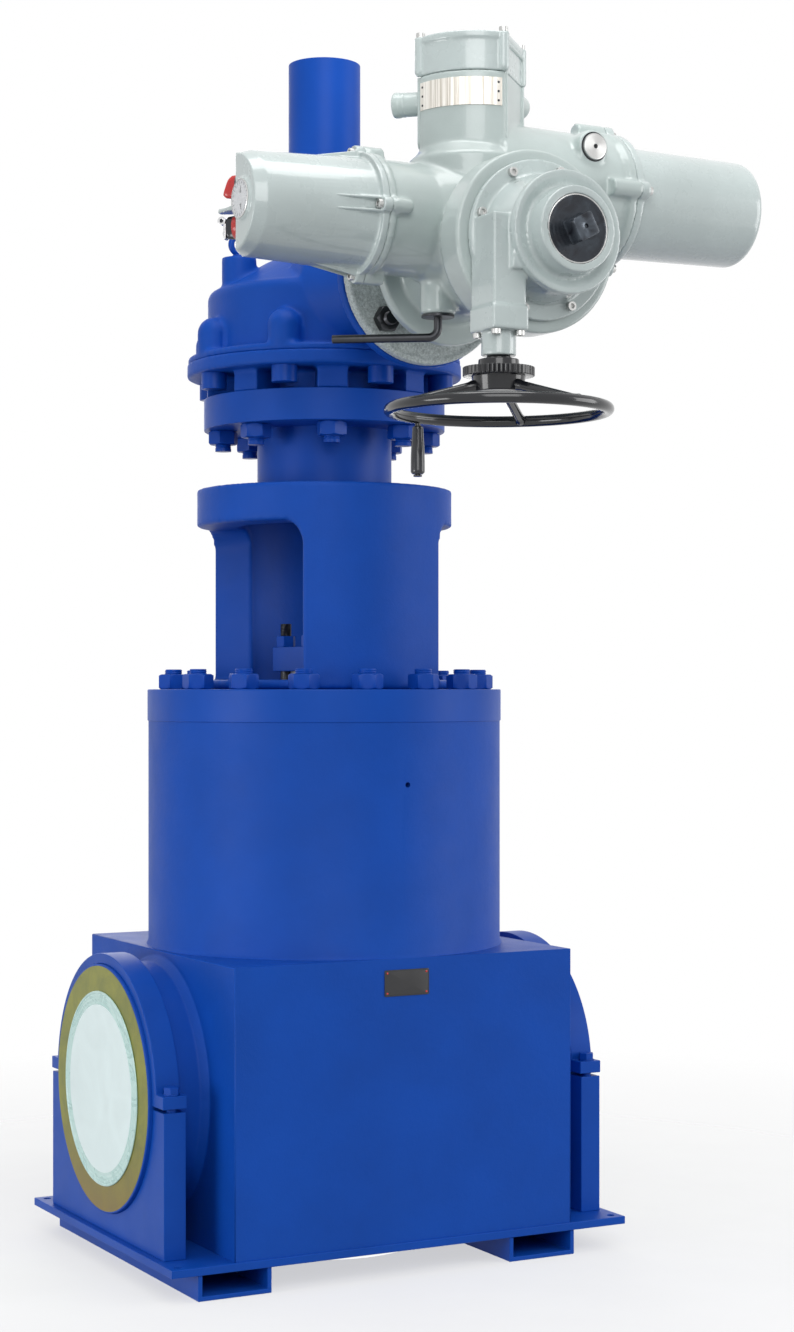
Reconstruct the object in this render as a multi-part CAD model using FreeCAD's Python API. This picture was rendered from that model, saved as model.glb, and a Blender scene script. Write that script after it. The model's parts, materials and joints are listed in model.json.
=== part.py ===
"""Motorized gate valve: pipe block on a skid, sealed bonnet, yoke, bevel gearbox and electric actuator."""
import FreeCAD, Part
import math
import os

os.makedirs("parts", exist_ok=True)

# All lengths are millimetres. Origin: floor, on the stem axis. X along the pipe, -Y to the actuator, Z up.

# Skid
SKID_PAST_PIPE = 6.0
SKID_PAST_BLOCK = 4.0
SKID_PLATE = 16.0
SKID_HOLE_R = 8.0
SKID_HOLE_INSET_X = 22.0
SKID_HOLE_INSET_Y = 22.0
RUNNER_HEIGHT = 50.0
RUNNER_WALL = 9.0
RUNNER_SETBACK = 4.0
RUNNER_LEFT_INSET = 133.0
RUNNER_RIGHT_INSET = 200.0
RUNNER_WIDTH = 154.0

# Pipe run through the body
PIPE_ABOVE_DECK = 290.0
PIPE_OD_R = 250.0
BORE_R = 174.5
PIPE_PAST_BLOCK = 125.0
ROOT_PAD_R = 262.0
ROOT_PAD_LENGTH = 16.0

# Pipe cradles
CRADLE_SETBACK = 32.0
CRADLE_THICK = 46.0
CRADLE_HALF_WIDTH = 305.0
CRADLE_BELOW_AXIS = 7.0
CRADLE_FIT = 0.1
CAP_WALL = 21.0
CAP_EAR_THICK = 25.0
CAP_EAR_INNER = 255.0
CAP_EAR_GAP = 7.0
CRADLE_BOLT_R = 10.0
CRADLE_BOLT_AF = 28.0
CRADLE_BOLT_Y = 288.0
CRADLE_BOLT_DEPTH = 60.0

# Valve body
BLOCK_LENGTH = 758.0
BLOCK_WIDTH = 750.0
BLOCK_HEIGHT = 563.0
NECK_INSET = 4.0
NECK_WELD = 4.0
NECK_HEIGHT = 467.0
CHEST_R = 225.0
SLOT_HALF = 100.0
SLOT_R = 220.0
CHEST_RISE = 420.0
VENT_R = 5.5
VENT_DROP = 124.0
VENT_DEPTH = 30.0
PLATE_WIDTH = 100.0
PLATE_HEIGHT = 52.0
PLATE_THICK = 2.0
PLATE_X = -5.0
PLATE_BELOW_TOP = 48.0

# Gate and seats
GATE_R = 197.0
GATE_HALF = 52.0
WEDGE_DEG = 5.0
SEAT_OUT_R = 206.0
SEAT_DEPTH = 30.0
SEAT_GAP = 0.3
GATE_HUB_R = 62.0
GATE_HUB_RISE = 262.0
GATE_HUB_CHAMFER = 30.0

# Stem
STEM_R = 40.0
STEM_RUN = 0.05
STEM_FOOT_R = 30.0
STEM_FOOT_DEPTH = 60.0
STEM_TRAVEL = 360.0
STEM_END_ROOM = 30.0

# Bonnet and its pressure seal
BONNET_SLIDE = 0.5
BONNET_PLUG = 50.0
BONNET_BELOW_NECK_TOP = 108.0
BONNET_SHOULDER_R = 196.0
SEAL_HEIGHT = 24.0
THRUST_HEIGHT = 26.0
THRUST_GROOVE = 18.0
CHIMNEY_R = 96.0
CHIMNEY_ABOVE_RING = 20.0
PACK_R = 62.0
PACK_HEIGHT = 110.0
RING_HEIGHT = 66.0
RING_PAST_NECK = 2.0
RING_STEP = 1.5
RING_HOLE_GAP = 2.0

# Bonnet studs
STUD_TO_EDGE = 48.0
STUD_COUNT = 16
STUD_R = 18.0
STUD_NUT_AF = 55.0
STUD_NUT_HEIGHT = 31.0
STUD_END = 10.0
STUD_BURY = 70.0
STUD_FIT = 0.05

# Gland
GLAND_SIDE = 172.0
GLAND_THICK = 51.0
GLAND_CORNER = 12.0
GLAND_LIFT = 18.0
FOLLOWER_LIP_R = 72.0
FOLLOWER_LIP = 8.0
GLAND_STUD_R = 12.0
GLAND_STUD_PITCH = 122.0
GLAND_STUD_END = 26.0
GLAND_STUD_BURY = 40.0
GLAND_NUT_AF = 36.0
GLAND_NUT_HEIGHT = 24.0

# Yoke
YOKE_TO_STUDS = 56.4
YOKE_WALL = 92.0
YOKE_HEIGHT = 419.0
WINDOW_HALF_DEG = 54.0
WINDOW_SILL = 19.0
WINDOW_HEAD = 78.0
WINDOW_CORNER = 42.0
WINDOW_CORNER_DEG = 9.5
YOKE_TOP_HOLE_R = 70.0
YOKE_TOP_PLATE = 40.0

# Column between yoke and gearbox
COLUMN_R = 142.0
COLUMN_WALL = 40.0
COLUMN_HEIGHT = 125.0
COLUMN_FLANGE_R = 254.4
COLUMN_FLANGE = 65.0
COLUMN_BOLT_R = 214.0
COLUMN_BOLT_COUNT = 8
COLUMN_STUD_R = 17.0
COLUMN_NUT_AF = 55.0
COLUMN_NUT_HEIGHT = 29.0
COLUMN_STUD_END = 14.0
COLUMN_STUD_RISE = 40.0

# Bevel gearbox
FOOT_HEIGHT = 45.0
FOOT_TANGENT = 62.0
FOOT_IN_R = 188.0
FOOT_OUT_R = 247.0
GEAR_BASE_R = 289.3
GEAR_BASE_PLATE = 28.0
GEAR_BASE_HUB_R = 176.0
GEAR_BASE_BORE_R = 62.0
CASE_FLANGE = 15.0
CASE_FLANGE_R = 287.0
CASE_R = 246.0
CASE_WALL = 18.0
CASE_SHOULDER = 16.0
CASE_SHOULDER_Z = 154.0
CASE_TOP_R = 124.0
CASE_TOP_Z = 215.0
CASE_CROWN = 26.0
CASE_BOLT_R = 255.0
CASE_BOSS_R = 34.0
CASE_BOSS_RISE = 38.0
CASE_BOLT_SHANK_R = 12.0
CASE_BOLT_HEAD_R = 26.0
CASE_BOLT_HEAD = 34.0
EYE_BOSS_R = 36.0
EYE_BOSS_X = -198.0
EYE_BOSS_RISE = 214.0
EYE_RING_R = 18.0
EYE_WIRE_R = 6.5
EYE_STEM_R = 8.0
EYE_STEM_BURY = 22.0
EYE_COLLAR_R = 15.0
EYE_COLLAR = 5.0
COVER_TUBE_R = 75.9
COVER_TUBE_WALL = 8.0
COVER_TUBE_RISE = 510.0
COVER_TUBE_FOOT = 14.0

# Bevel gear pair: cone apex on both axes
MODULE = 8.0
GEAR_TEETH = 36
PINION_TEETH = 12
PRESSURE_DEG = 20.0
FACE_WIDTH = 44.0
GEAR_ADDENDUM = 0.6
PINION_ADDENDUM = 1.0
TIP_ROOM = 1.6
FLANK_BACKLASH = 0.35
INPUT_ABOVE_BASE = 128.0
LEAD = 14.0

# Stem nut and its bearings
NUT_R = 58.0
NUT_FLANGE_R = 96.0
NUT_FLANGE = 18.0
NUT_BELOW = 38.0
NUT_TOP = 168.0
BEARING_R = 104.0
BEARING_HEIGHT = 22.0
BEARING_RUN = 0.05
TOP_BEARING_R = 92.0
TOP_BEARING_HEIGHT = 20.0
BEARING_FACE_GAP = 0.3

# Input neck and shaft, along -Y from the stem axis
NECK_CONE_START = 190.0
NECK_CONE_END = 272.0
NECK_CONE_R = 150.0
NECK_TUBE_R = 100.0
NECK_BORE_R = 62.0
IN_FLANGE_R = 179.0
IN_FLANGE = 22.0
IN_FACE_Y = 430.0
SHAFT_R = 28.0
SHAFT_BEARING_LENGTH = 46.0
SHAFT_BEARING_Y = 330.0
SLEEVE_R = 45.0
SLEEVE_START = 476.0
SLEEVE_END = 960.0
SHAFT_LAP = 70.0

# Adapter between gearbox and actuator
ADAPTER_R = 175.0
ADAPTER_FLANGE = 22.0
ADAPTER_RIM = 10.0
ADAPTER_DISH = 3.0
ADAPTER_NECK_R = 98.0
ADAPTER_NECK = 63.0
ADAPTER_BORE_R = 60.0
ADAPTER_BOLT_R = 132.0
ADAPTER_BOLT_COUNT = 4
ADAPTER_BOLT_SHANK_R = 14.0
ADAPTER_BOLT_AF = 46.0
ADAPTER_BOLT_HEAD = 22.0
ADAPTER_BOLT_BURY = 16.0

# Actuator gearcase, around the input axis
BASE_R = 148.0
BASE_DISC = 25.0
GEARCASE_R = 108.0
RIM_R = 166.0
RIM_CONE_Y = 700.0
RIM_BACK_Y = 788.0
RIM_FACE_Y = 860.0
RIM_ROUND = 10.0
SLEEVE_BORE_R = 60.0
SLEEVE_BEARING = 30.0

# Actuator arms, along X at one depth
ARM_Y = -640.0
CONTROL_RISE = 62.0
MOTOR_RISE = 137.0
CONTROL_ARM_R = 105.0
CONTROL_ARM_ROOT_R = 124.0
CONTROL_ARM_ROOT_X = -70.0
CONTROL_FLANGE_X = -242.0
CONTROL_FLANGE = 14.0
CONTROL_FLANGE_R = 113.0
MOTOR_ARM_R = 120.0
MOTOR_ARM_ROOT_R = 124.0
MOTOR_FLANGE_X = 282.0
MOTOR_FLANGE = 16.0
MOTOR_FLANGE_R = 128.0
LOBE_R = 14.0
LOBE_LENGTH = 40.0
MOTOR_LOBE_R = 17.0
MOTOR_LOBE_LENGTH = 62.0
SCREW_R = 5.0
SCREW_HEAD_R = 8.5
SCREW_HEAD = 9.0
SCREW_BURY = 14.0

# Control cover
CONTROL_END_X = -500.0
CONTROL_ROOT_R = 103.0
CONTROL_TIP_R = 94.5
CONTROL_BEVEL = 24.0
CONTROL_FACE_R = 87.0
FACET_Y_OFFSET = -6.0
RIB_THICK = 5.0
RIB_LENGTH = 72.0
RIB_SPREAD = 28.0
WINDOW_R = 31.0
WINDOW_OFFSET = 36.0
WINDOW_BEZEL = 7.0
WINDOW_PROUD = 5.0
WINDOW_DEPTH = 8.0
GLASS = 4.0
KNOB_R = 23.0
KNOB_BASE = 12.0
KNOB_GRIP = 26.0
KNOB_GRIP_WIDTH = 13.0
KNOB_RISE = 37.0
KNOB_ALONG = 50.0
KNOB_SPINDLE_R = 6.0
KNOB_SPINDLE = 14.0
KNOB_FACE_GAP = 0.3
SHIELD_REACH = 50.0
SHIELD_DROP = 7.0
SHIELD_THICK = 6.0

# Motor cover
MOTOR_ROOT_R = 107.0
MOTOR_TIP_R = 103.0
MOTOR_END_X = 595.0
MOTOR_ROUND = 12.0
OIL_PLUG_R = 25.0
OIL_PLUG = 6.0
OIL_PLUG_X = 190.0
OIL_PLUG_RISE = 74.0
OIL_BOSS_R = 33.0
OIL_BOSS_Y = -756.0

# Terminal tower
TOWER_X = -13.0
TOWER_DEG = -45.0
TOWER_SIDE = 166.0
TOWER_FRONT = 58.0
TOWER_NOSE = 92.0
TOWER_RISE = 336.0
TOWER_LID = 60.0
TOWER_LID_PLATE = 12.0
TOWER_LID_OVER = 3.0
TOWER_FLARE_R = 118.0
TOWER_FLARE_RISE = 178.0
POST_R = 11.0
POST_LENGTH = 74.0
CONDUIT_R = 23.0
CONDUIT_LENGTH = 38.0
CONDUIT_HOLE_R = 16.0
CONDUIT_HOLE_DEPTH = 30.0
CONDUIT_DROP = 104.0
CONDUIT_HEAD = 7.0
CONDUIT_LEFT_OFFSET = 30.0
CONDUIT_BACK_OFFSET = 59.0
CONDUIT_BACK_RISE = 20.0
POST_SPREAD = 80.0
BAND_THICK = 1.5
BAND_GAP = 0.2
BAND_HEIGHT = 52.0
BAND_DROP = 86.0
BAND_HALF_WIDTH = 79.0

# Hand gear cover
COVER_FLANGE_R = 145.0
COVER_FLANGE = 14.0
COVER_SCREW_R = 131.0
COVER_SCREW_COUNT = 8
COVER_SCREW_DEG = 28.0
COVER_BODY_R = 106.0
COVER_ROOT_R = 118.0
COVER_LIP_R = 110.0
COVER_LIP_Y = 967.0
COVER_LIP = 16.0
COVER_DISH = 7.0
COVER_DISH_R = 100.0
COVER_NOSE_R = 78.0
COVER_NOSE_Y = 1000.0
COVER_NOSE_BORE_R = 62.0
PLUG_R = 61.9
PLUG_THICK = 14.0
PLUG_SET = 2.0
PLUG_BOSS = 42.0
PLUG_BOSS_PROUD = 30.0
PLUG_BOSS_DEG = 28.0

# Handwheel column and handwheel
WHEEL_X = -105.0
WHEEL_Y = -902.0
COLUMN_BOX_X = 66.0
COLUMN_BOX_Y = 82.0
COLUMN_BOX_RISE = 28.0
FOOT_TOP_DROP = 135.0
FOOT_BOTTOM_DROP = 177.0
FOOT_PROUD = 3.0
SPIGOT_R = 31.0
SPIGOT_DROP = 220.0
WHEEL_SHAFT_R = 14.0
WHEEL_SHAFT_DROP = 137.0
WHEEL_NECK_R = 22.0
WHEEL_COLLAR_R = 36.0
WHEEL_COLLAR_DROP = 226.0
WHEEL_DISC_R = 64.0
WHEEL_DISC_DROP = 240.0
WHEEL_DISC_BOTTOM_DROP = 258.0
WHEEL_HUB_R = 49.0
WHEEL_HUB_TIP_R = 42.0
WHEEL_HUB_DROP = 284.0
WHEEL_RIM_R = 194.0
WHEEL_RIM_DROP = 315.0
WHEEL_TUBE_R = 10.5
WHEEL_SPOKES = 3
WHEEL_SPOKE_R = 9.0
WHEEL_SPOKE_DEG = 47.0
WHEEL_NOTCHES = 24
WHEEL_NOTCH_R = 3.0
GRIP_DEG = 109.0
GRIP_R = 13.0
GRIP_WAIST_R = 10.0
GRIP_LENGTH = 88.0
GRIP_PIN_R = 5.0
GRIP_GAP = 4.0
GRIP_PIN_HEAD_R = 8.0
GRIP_PIN_HEAD = 3.0

# Declutch lever
LEVER_X = -82.0
LEVER_BOSS_R = 33.0
LEVER_BOSS_DROP = 110.0
LEVER_PLATE_R = 31.0
LEVER_PLATE = 5.0
LEVER_ROD_R = 8.0
LEVER_ROD_DROP = 152.0
LEVER_BEND_R = 18.0
LEVER_REACH = 200.0
LEVER_DEG = 145.0
LEVER_SPINDLE = 40.0

# Transport caps on the weld ends
END_CAP_R = 196.0
END_CAP_THICK = 3.0
END_CAP_SKIRT = 24.0
END_CAP_SKIRT_WALL = 4.0
END_CAP_FIT = 0.3

# Derived levels and lengths
PIPE_FACE_X = BLOCK_LENGTH / 2 + PIPE_PAST_BLOCK
CRADLE_X = PIPE_FACE_X - CRADLE_SETBACK
SKID_LENGTH = 2 * (PIPE_FACE_X + SKID_PAST_PIPE)
SKID_WIDTH = BLOCK_WIDTH + 2 * SKID_PAST_BLOCK
RUNNER_LEFT_X = RUNNER_LEFT_INSET - SKID_LENGTH / 2
RUNNER_RIGHT_X = SKID_LENGTH / 2 - RUNNER_RIGHT_INSET
NECK_R = BLOCK_WIDTH / 2 - NECK_INSET
RING_R = NECK_R + RING_PAST_NECK
STUD_PITCH_R = RING_R - STUD_TO_EDGE
YOKE_R = STUD_PITCH_R - YOKE_TO_STUDS
DECK_Z = RUNNER_HEIGHT + SKID_PLATE
PIPE_Z = DECK_Z + PIPE_ABOVE_DECK
BLOCK_TOP = DECK_Z + BLOCK_HEIGHT
NECK_TOP = BLOCK_TOP + NECK_HEIGHT
RING_TOP = NECK_TOP + RING_HEIGHT
YOKE_TOP = RING_TOP + YOKE_HEIGHT
COLUMN_TOP = YOKE_TOP + COLUMN_HEIGHT
GEAR_FOOT_Z = COLUMN_TOP + COLUMN_FLANGE
GEAR_PLATE_Z = GEAR_FOOT_Z + FOOT_HEIGHT
CASE_Z = GEAR_PLATE_Z + GEAR_BASE_PLATE
INPUT_Z = CASE_Z + INPUT_ABOVE_BASE
CONTROL_Z = INPUT_Z + CONTROL_RISE
MOTOR_Z = INPUT_Z + MOTOR_RISE
COVER_TUBE_TOP = INPUT_Z + COVER_TUBE_RISE
TOWER_TOP = INPUT_Z + TOWER_RISE
TOWER_FLARE_Z = INPUT_Z + TOWER_FLARE_RISE
COLUMN_BOX_TOP = INPUT_Z + COLUMN_BOX_RISE
FOOT_TOP = INPUT_Z - FOOT_TOP_DROP
FOOT_BOTTOM = INPUT_Z - FOOT_BOTTOM_DROP
SPIGOT_BOTTOM = INPUT_Z - SPIGOT_DROP
WHEEL_SHAFT_TOP = INPUT_Z - WHEEL_SHAFT_DROP
WHEEL_COLLAR_TOP = INPUT_Z - WHEEL_COLLAR_DROP
WHEEL_DISC_TOP = INPUT_Z - WHEEL_DISC_DROP
WHEEL_DISC_BOTTOM = INPUT_Z - WHEEL_DISC_BOTTOM_DROP
WHEEL_HUB_BOTTOM = INPUT_Z - WHEEL_HUB_DROP
WHEEL_RIM_Z = INPUT_Z - WHEEL_RIM_DROP
LEVER_BOSS_BOTTOM = INPUT_Z - LEVER_BOSS_DROP
LEVER_ROD_Z = INPUT_Z - LEVER_ROD_DROP
CHIMNEY_TOP = RING_TOP + CHIMNEY_ABOVE_RING
BONNET_BOTTOM = NECK_TOP - BONNET_BELOW_NECK_TOP
BONNET_SHOULDER = BONNET_BOTTOM + BONNET_PLUG
SEAL_TOP = BONNET_SHOULDER + SEAL_HEIGHT
THRUST_TOP = SEAL_TOP + THRUST_HEIGHT
GEAR_R = MODULE * GEAR_TEETH / 2
PINION_R = MODULE * PINION_TEETH / 2
CONE_LENGTH = math.hypot(GEAR_R, PINION_R)
SPINDLE_FIT = 0.05

X = FreeCAD.Vector(1, 0, 0)
Y = FreeCAD.Vector(0, 1, 0)
Z = FreeCAD.Vector(0, 0, 1)


def vec(x, y, z):
    return FreeCAD.Vector(x, y, z)


def cylinder(radius, length, start, axis=Z):
    return Part.makeCylinder(radius, length, start, axis)


def tube(outer, inner, length, start, axis=Z):
    extra = 1.0
    hole = cylinder(inner, length + 2 * extra, start - axis * extra, axis)
    return cylinder(outer, length, start, axis).cut(hole)


def block(x0, x1, y0, y1, z0, z1):
    return Part.makeBox(x1 - x0, y1 - y0, z1 - z0, vec(x0, y0, z0))


def turned(points, centre, axis):
    """Solid of revolution from (radius, distance along axis) pairs."""
    side = X if abs(axis.x) < 0.5 else Z
    path = [centre + side * r + axis * h for r, h in points]
    face = Part.Face(Part.makePolygon(path + path[:1]))
    return face.revolve(centre, axis, 360)


def prism(points, rise, z):
    """Upright prism over an (x, y) outline."""
    path = [vec(x, y, z) for x, y in points]
    return Part.Face(Part.makePolygon(path + path[:1])).extrude(vec(0, 0, rise))


def hexagon(across_flats, length, start, axis=Z):
    radius = across_flats / math.sqrt(3)
    points = [(radius * math.cos(math.radians(60 * k)), radius * math.sin(math.radians(60 * k)))
              for k in range(6)]
    return aim(prism(points, length, 0), start, axis)


def aim(shape, start, axis):
    """Move a shape built on +Z from the origin so that it starts at a point along an axis."""
    placed = shape.copy()
    placed.Placement = FreeCAD.Placement(start, FreeCAD.Rotation(Z, axis)).multiply(shape.Placement)
    return placed


def around(count, radius, start_deg, z=0.0):
    """Points evenly spaced on a level circle about the stem axis."""
    step = 360.0 / count
    return [vec(radius * math.cos(math.radians(start_deg + step * k)),
                radius * math.sin(math.radians(start_deg + step * k)), z) for k in range(count)]


def around_input(count, radius, start_deg, depth):
    """Points evenly spaced on a circle about the input axis, at a distance along -Y."""
    step = 360.0 / count
    return [vec(radius * math.cos(math.radians(start_deg + step * k)), -depth,
                INPUT_Z + radius * math.sin(math.radians(start_deg + step * k))) for k in range(count)]


def fuse(shapes):
    solid = shapes[0]
    for other in shapes[1:]:
        solid = solid.fuse(other)
    return solid.removeSplitter()


def cut_all(solid, tools):
    for tool in tools:
        solid = solid.cut(tool)
    return solid


def save(name, shape):
    if isinstance(shape, list):
        shape = Part.makeCompound(shape)
    for solid in shape.Solids:
        if not solid.isValid() or solid.Volume <= 0:
            raise ValueError("bad solid in " + name)
    shape.exportStep("parts/" + name + ".step")


def skid_hole_points():
    x = SKID_LENGTH / 2 - SKID_HOLE_INSET_X
    y = SKID_WIDTH / 2 - SKID_HOLE_INSET_Y
    return [vec(a * x, b * y, RUNNER_HEIGHT - 1) for a in (-1, 1) for b in (-1, 1)]


def skid_plate():
    x, y = SKID_LENGTH / 2, SKID_WIDTH / 2
    plate = block(-x, x, -y, y, RUNNER_HEIGHT, DECK_Z)
    return cut_all(plate, [cylinder(SKID_HOLE_R, SKID_PLATE + 2, p) for p in skid_hole_points()])


def skid_runner(x):
    """Box runner, open at both ends so that lifting forks can enter."""
    half, y = RUNNER_WIDTH / 2, SKID_WIDTH / 2 - RUNNER_SETBACK
    outer = block(x - half, x + half, -y, y, 0, RUNNER_HEIGHT)
    inner = block(x - half + RUNNER_WALL, x + half - RUNNER_WALL, -y - 1, y + 1,
                  RUNNER_WALL, RUNNER_HEIGHT + 1)
    return outer.cut(inner)


def cradle_bolt_points(side):
    return [vec(side * CRADLE_X, s * CRADLE_BOLT_Y, PIPE_Z - CRADLE_BELOW_AXIS) for s in (-1, 1)]


def cradle_saddle(side):
    x, half = side * CRADLE_X, CRADLE_THICK / 2
    top = PIPE_Z - CRADLE_BELOW_AXIS
    plate = block(x - half, x + half, -CRADLE_HALF_WIDTH, CRADLE_HALF_WIDTH, DECK_Z, top)
    seat = cylinder(PIPE_OD_R + CRADLE_FIT, CRADLE_THICK + 2, vec(x - half - 1, 0, PIPE_Z), X)
    holes = [cylinder(CRADLE_BOLT_R, CRADLE_BOLT_DEPTH, p - Z * CRADLE_BOLT_DEPTH)
             for p in cradle_bolt_points(side)]
    return cut_all(plate, [seat] + holes)


def cradle_cap(side):
    x, half = side * CRADLE_X, CRADLE_THICK / 2 + 2
    start = vec(x - half, 0, PIPE_Z)
    ring = tube(PIPE_OD_R + CAP_WALL, PIPE_OD_R + CRADLE_FIT, 2 * half, start, X)
    reach = PIPE_OD_R + CAP_WALL + 5
    low = PIPE_Z - CRADLE_BELOW_AXIS + CAP_EAR_GAP
    arch = ring.common(block(x - half - 1, x + half + 1, -reach, reach, low, PIPE_Z + reach))
    ears = [block(x - half, x + half, min(s * CAP_EAR_INNER, s * CRADLE_HALF_WIDTH),
                  max(s * CAP_EAR_INNER, s * CRADLE_HALF_WIDTH), low, low + CAP_EAR_THICK)
            for s in (-1, 1)]
    bore = cylinder(PIPE_OD_R + CRADLE_FIT, 2 * half + 2, start - X, X)
    cap = fuse([arch] + ears).cut(bore)
    holes = [cylinder(CRADLE_BOLT_R, CAP_EAR_THICK + 2 * CAP_EAR_GAP, p) for p in cradle_bolt_points(side)]
    return cut_all(cap, holes)


def cradle_bolts():
    """Hexagon bolts with washers that clamp the caps down."""
    bolts = []
    rise = CAP_EAR_GAP + CAP_EAR_THICK
    for side in (-1, 1):
        for p in cradle_bolt_points(side):
            shank = cylinder(CRADLE_BOLT_R, CRADLE_BOLT_DEPTH + rise, p - Z * CRADLE_BOLT_DEPTH)
            washer = cylinder(CRADLE_BOLT_AF * 0.58, 3, p + Z * rise)
            head = hexagon(CRADLE_BOLT_AF, 13, p + Z * (rise + 3))
            bolts.append(fuse([shank, washer, head]))
    return bolts


def valve_body():
    """Square block with round neck and two pipe ends, bored for flow, gate and bonnet."""
    x, y = BLOCK_LENGTH / 2, BLOCK_WIDTH / 2
    base = block(-x, x, -y, y, DECK_Z, BLOCK_TOP)
    neck = cylinder(NECK_R, NECK_HEIGHT, vec(0, 0, BLOCK_TOP))
    weld = Part.makeCone(NECK_R + NECK_WELD, NECK_R, 2 * NECK_WELD, vec(0, 0, BLOCK_TOP))
    pipe = cylinder(PIPE_OD_R, 2 * PIPE_FACE_X, vec(-PIPE_FACE_X, 0, PIPE_Z), X)
    pads = [Part.makeCone(ROOT_PAD_R, PIPE_OD_R, ROOT_PAD_LENGTH, vec(s * x, 0, PIPE_Z), X * s)
            for s in (-1, 1)]
    body = fuse([base, neck, weld, pipe] + pads)
    flow = cylinder(BORE_R, 2 * PIPE_FACE_X + 2, vec(-PIPE_FACE_X - 1, 0, PIPE_Z), X)
    slot_round = cylinder(SLOT_R, 2 * SLOT_HALF, vec(-SLOT_HALF, 0, PIPE_Z), X)
    slot = block(-SLOT_HALF, SLOT_HALF, -SLOT_R, SLOT_R, PIPE_Z, PIPE_Z + CHEST_RISE)
    chest_z = PIPE_Z + SLOT_R + 60
    chest = cylinder(CHEST_R, NECK_TOP - chest_z + 1, vec(0, 0, chest_z))
    groove = cylinder(CHEST_R + THRUST_GROOVE, THRUST_HEIGHT, vec(0, 0, SEAL_TOP))
    pockets = [cylinder(SEAT_OUT_R, SEAT_DEPTH, vec(s * SLOT_HALF, 0, PIPE_Z), X * s) for s in (-1, 1)]
    studs = [cylinder(STUD_R + STUD_FIT, STUD_BURY + 1, p - Z * STUD_BURY)
             for p in around(STUD_COUNT, STUD_PITCH_R, 180.0 / STUD_COUNT, NECK_TOP)]
    vent = cylinder(VENT_R, VENT_DEPTH, vec(0, -NECK_R - 1, NECK_TOP - VENT_DROP), Y)
    return cut_all(body, [flow, slot_round, slot, chest, groove] + pockets + studs + [vent])


def seat_plane_block(side, gap):
    """Half space beyond a wedge face, leaning out as it rises."""
    reach = 3 * CHEST_R
    slab = block(0, reach, -reach, reach, -reach, reach)
    slab.rotate(vec(0, 0, 0), Y, WEDGE_DEG)
    slab.translate(vec(GATE_HALF + gap, 0, 0))
    if side < 0:
        slab.rotate(vec(0, 0, 0), Z, 180)
    slab.translate(vec(0, 0, PIPE_Z))
    return slab


def seat_ring(side):
    """Seat pressed into its pocket, its face cut to the wedge angle."""
    length = SLOT_HALF + SEAT_DEPTH
    ring = tube(SEAT_OUT_R, BORE_R, length, vec(0, 0, PIPE_Z), X * side)
    return ring.common(seat_plane_block(side, SEAT_GAP))


def gate_wedge():
    """Solid wedge with a hub that holds the foot of the stem."""
    reach = SLOT_HALF - 2
    disc = cylinder(GATE_R, 2 * reach, vec(-reach, 0, PIPE_Z), X)
    hub_top = PIPE_Z + GATE_HUB_RISE
    hub = cylinder(GATE_HUB_R, GATE_HUB_RISE, vec(0, 0, PIPE_Z))
    rim = GATE_HUB_R - 8
    cone = Part.makeCone(GATE_HUB_R, rim, GATE_HUB_CHAMFER, vec(0, 0, hub_top - GATE_HUB_CHAMFER))
    ring = tube(GATE_HUB_R + 1, rim, GATE_HUB_CHAMFER, vec(0, 0, hub_top - GATE_HUB_CHAMFER))
    hub = hub.cut(ring).fuse(cone)
    socket = cylinder(STEM_FOOT_R, STEM_FOOT_DEPTH + 1, vec(0, 0, hub_top - STEM_FOOT_DEPTH))
    wedge = cut_all(fuse([disc, hub]), [seat_plane_block(s, 0) for s in (-1, 1)])
    return wedge.cut(socket)


def stem():
    """Rising stem: foot in the wedge, shoulder, plain shank and driven upper end."""
    foot_z = PIPE_Z + GATE_HUB_RISE
    top = COVER_TUBE_TOP - COVER_TUBE_WALL - STEM_END_ROOM - STEM_TRAVEL
    foot = cylinder(STEM_FOOT_R, STEM_FOOT_DEPTH, vec(0, 0, foot_z - STEM_FOOT_DEPTH))
    shank = cylinder(STEM_R, top - foot_z - 6, vec(0, 0, foot_z))
    tip = Part.makeCone(STEM_R, STEM_R - 6, 6, vec(0, 0, top - 6))
    return fuse([foot, shank, tip])


def bonnet():
    """Plug with a shoulder for the seal and a chimney for the packing."""
    outer = CHEST_R - BONNET_SLIDE
    profile = [(0, BONNET_BOTTOM), (outer, BONNET_BOTTOM), (outer, BONNET_SHOULDER),
               (BONNET_SHOULDER_R, BONNET_SHOULDER), (BONNET_SHOULDER_R, THRUST_TOP),
               (CHIMNEY_R, THRUST_TOP), (CHIMNEY_R, CHIMNEY_TOP), (0, CHIMNEY_TOP)]
    plug = turned(profile, vec(0, 0, 0), Z)
    hole = cylinder(STEM_R + STEM_RUN, BONNET_PLUG * 3 + NECK_HEIGHT, vec(0, 0, BONNET_BOTTOM - 1))
    box = cylinder(PACK_R, PACK_HEIGHT + GLAND_LIFT + 30, vec(0, 0, CHIMNEY_TOP - PACK_HEIGHT))
    studs = [cylinder(GLAND_STUD_R, CHIMNEY_TOP - THRUST_TOP + GLAND_STUD_BURY + 1, p)
             for p in gland_stud_points(THRUST_TOP - GLAND_STUD_BURY)]
    return cut_all(plug, [hole, box] + studs)


def gland_stud_points(z):
    half = GLAND_STUD_PITCH / 2
    return [vec(a * half, b * half, z) for a in (-1, 1) for b in (-1, 1)]


def seal_ring():
    return tube(CHEST_R, BONNET_SHOULDER_R, SEAL_HEIGHT, vec(0, 0, BONNET_SHOULDER))


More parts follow.
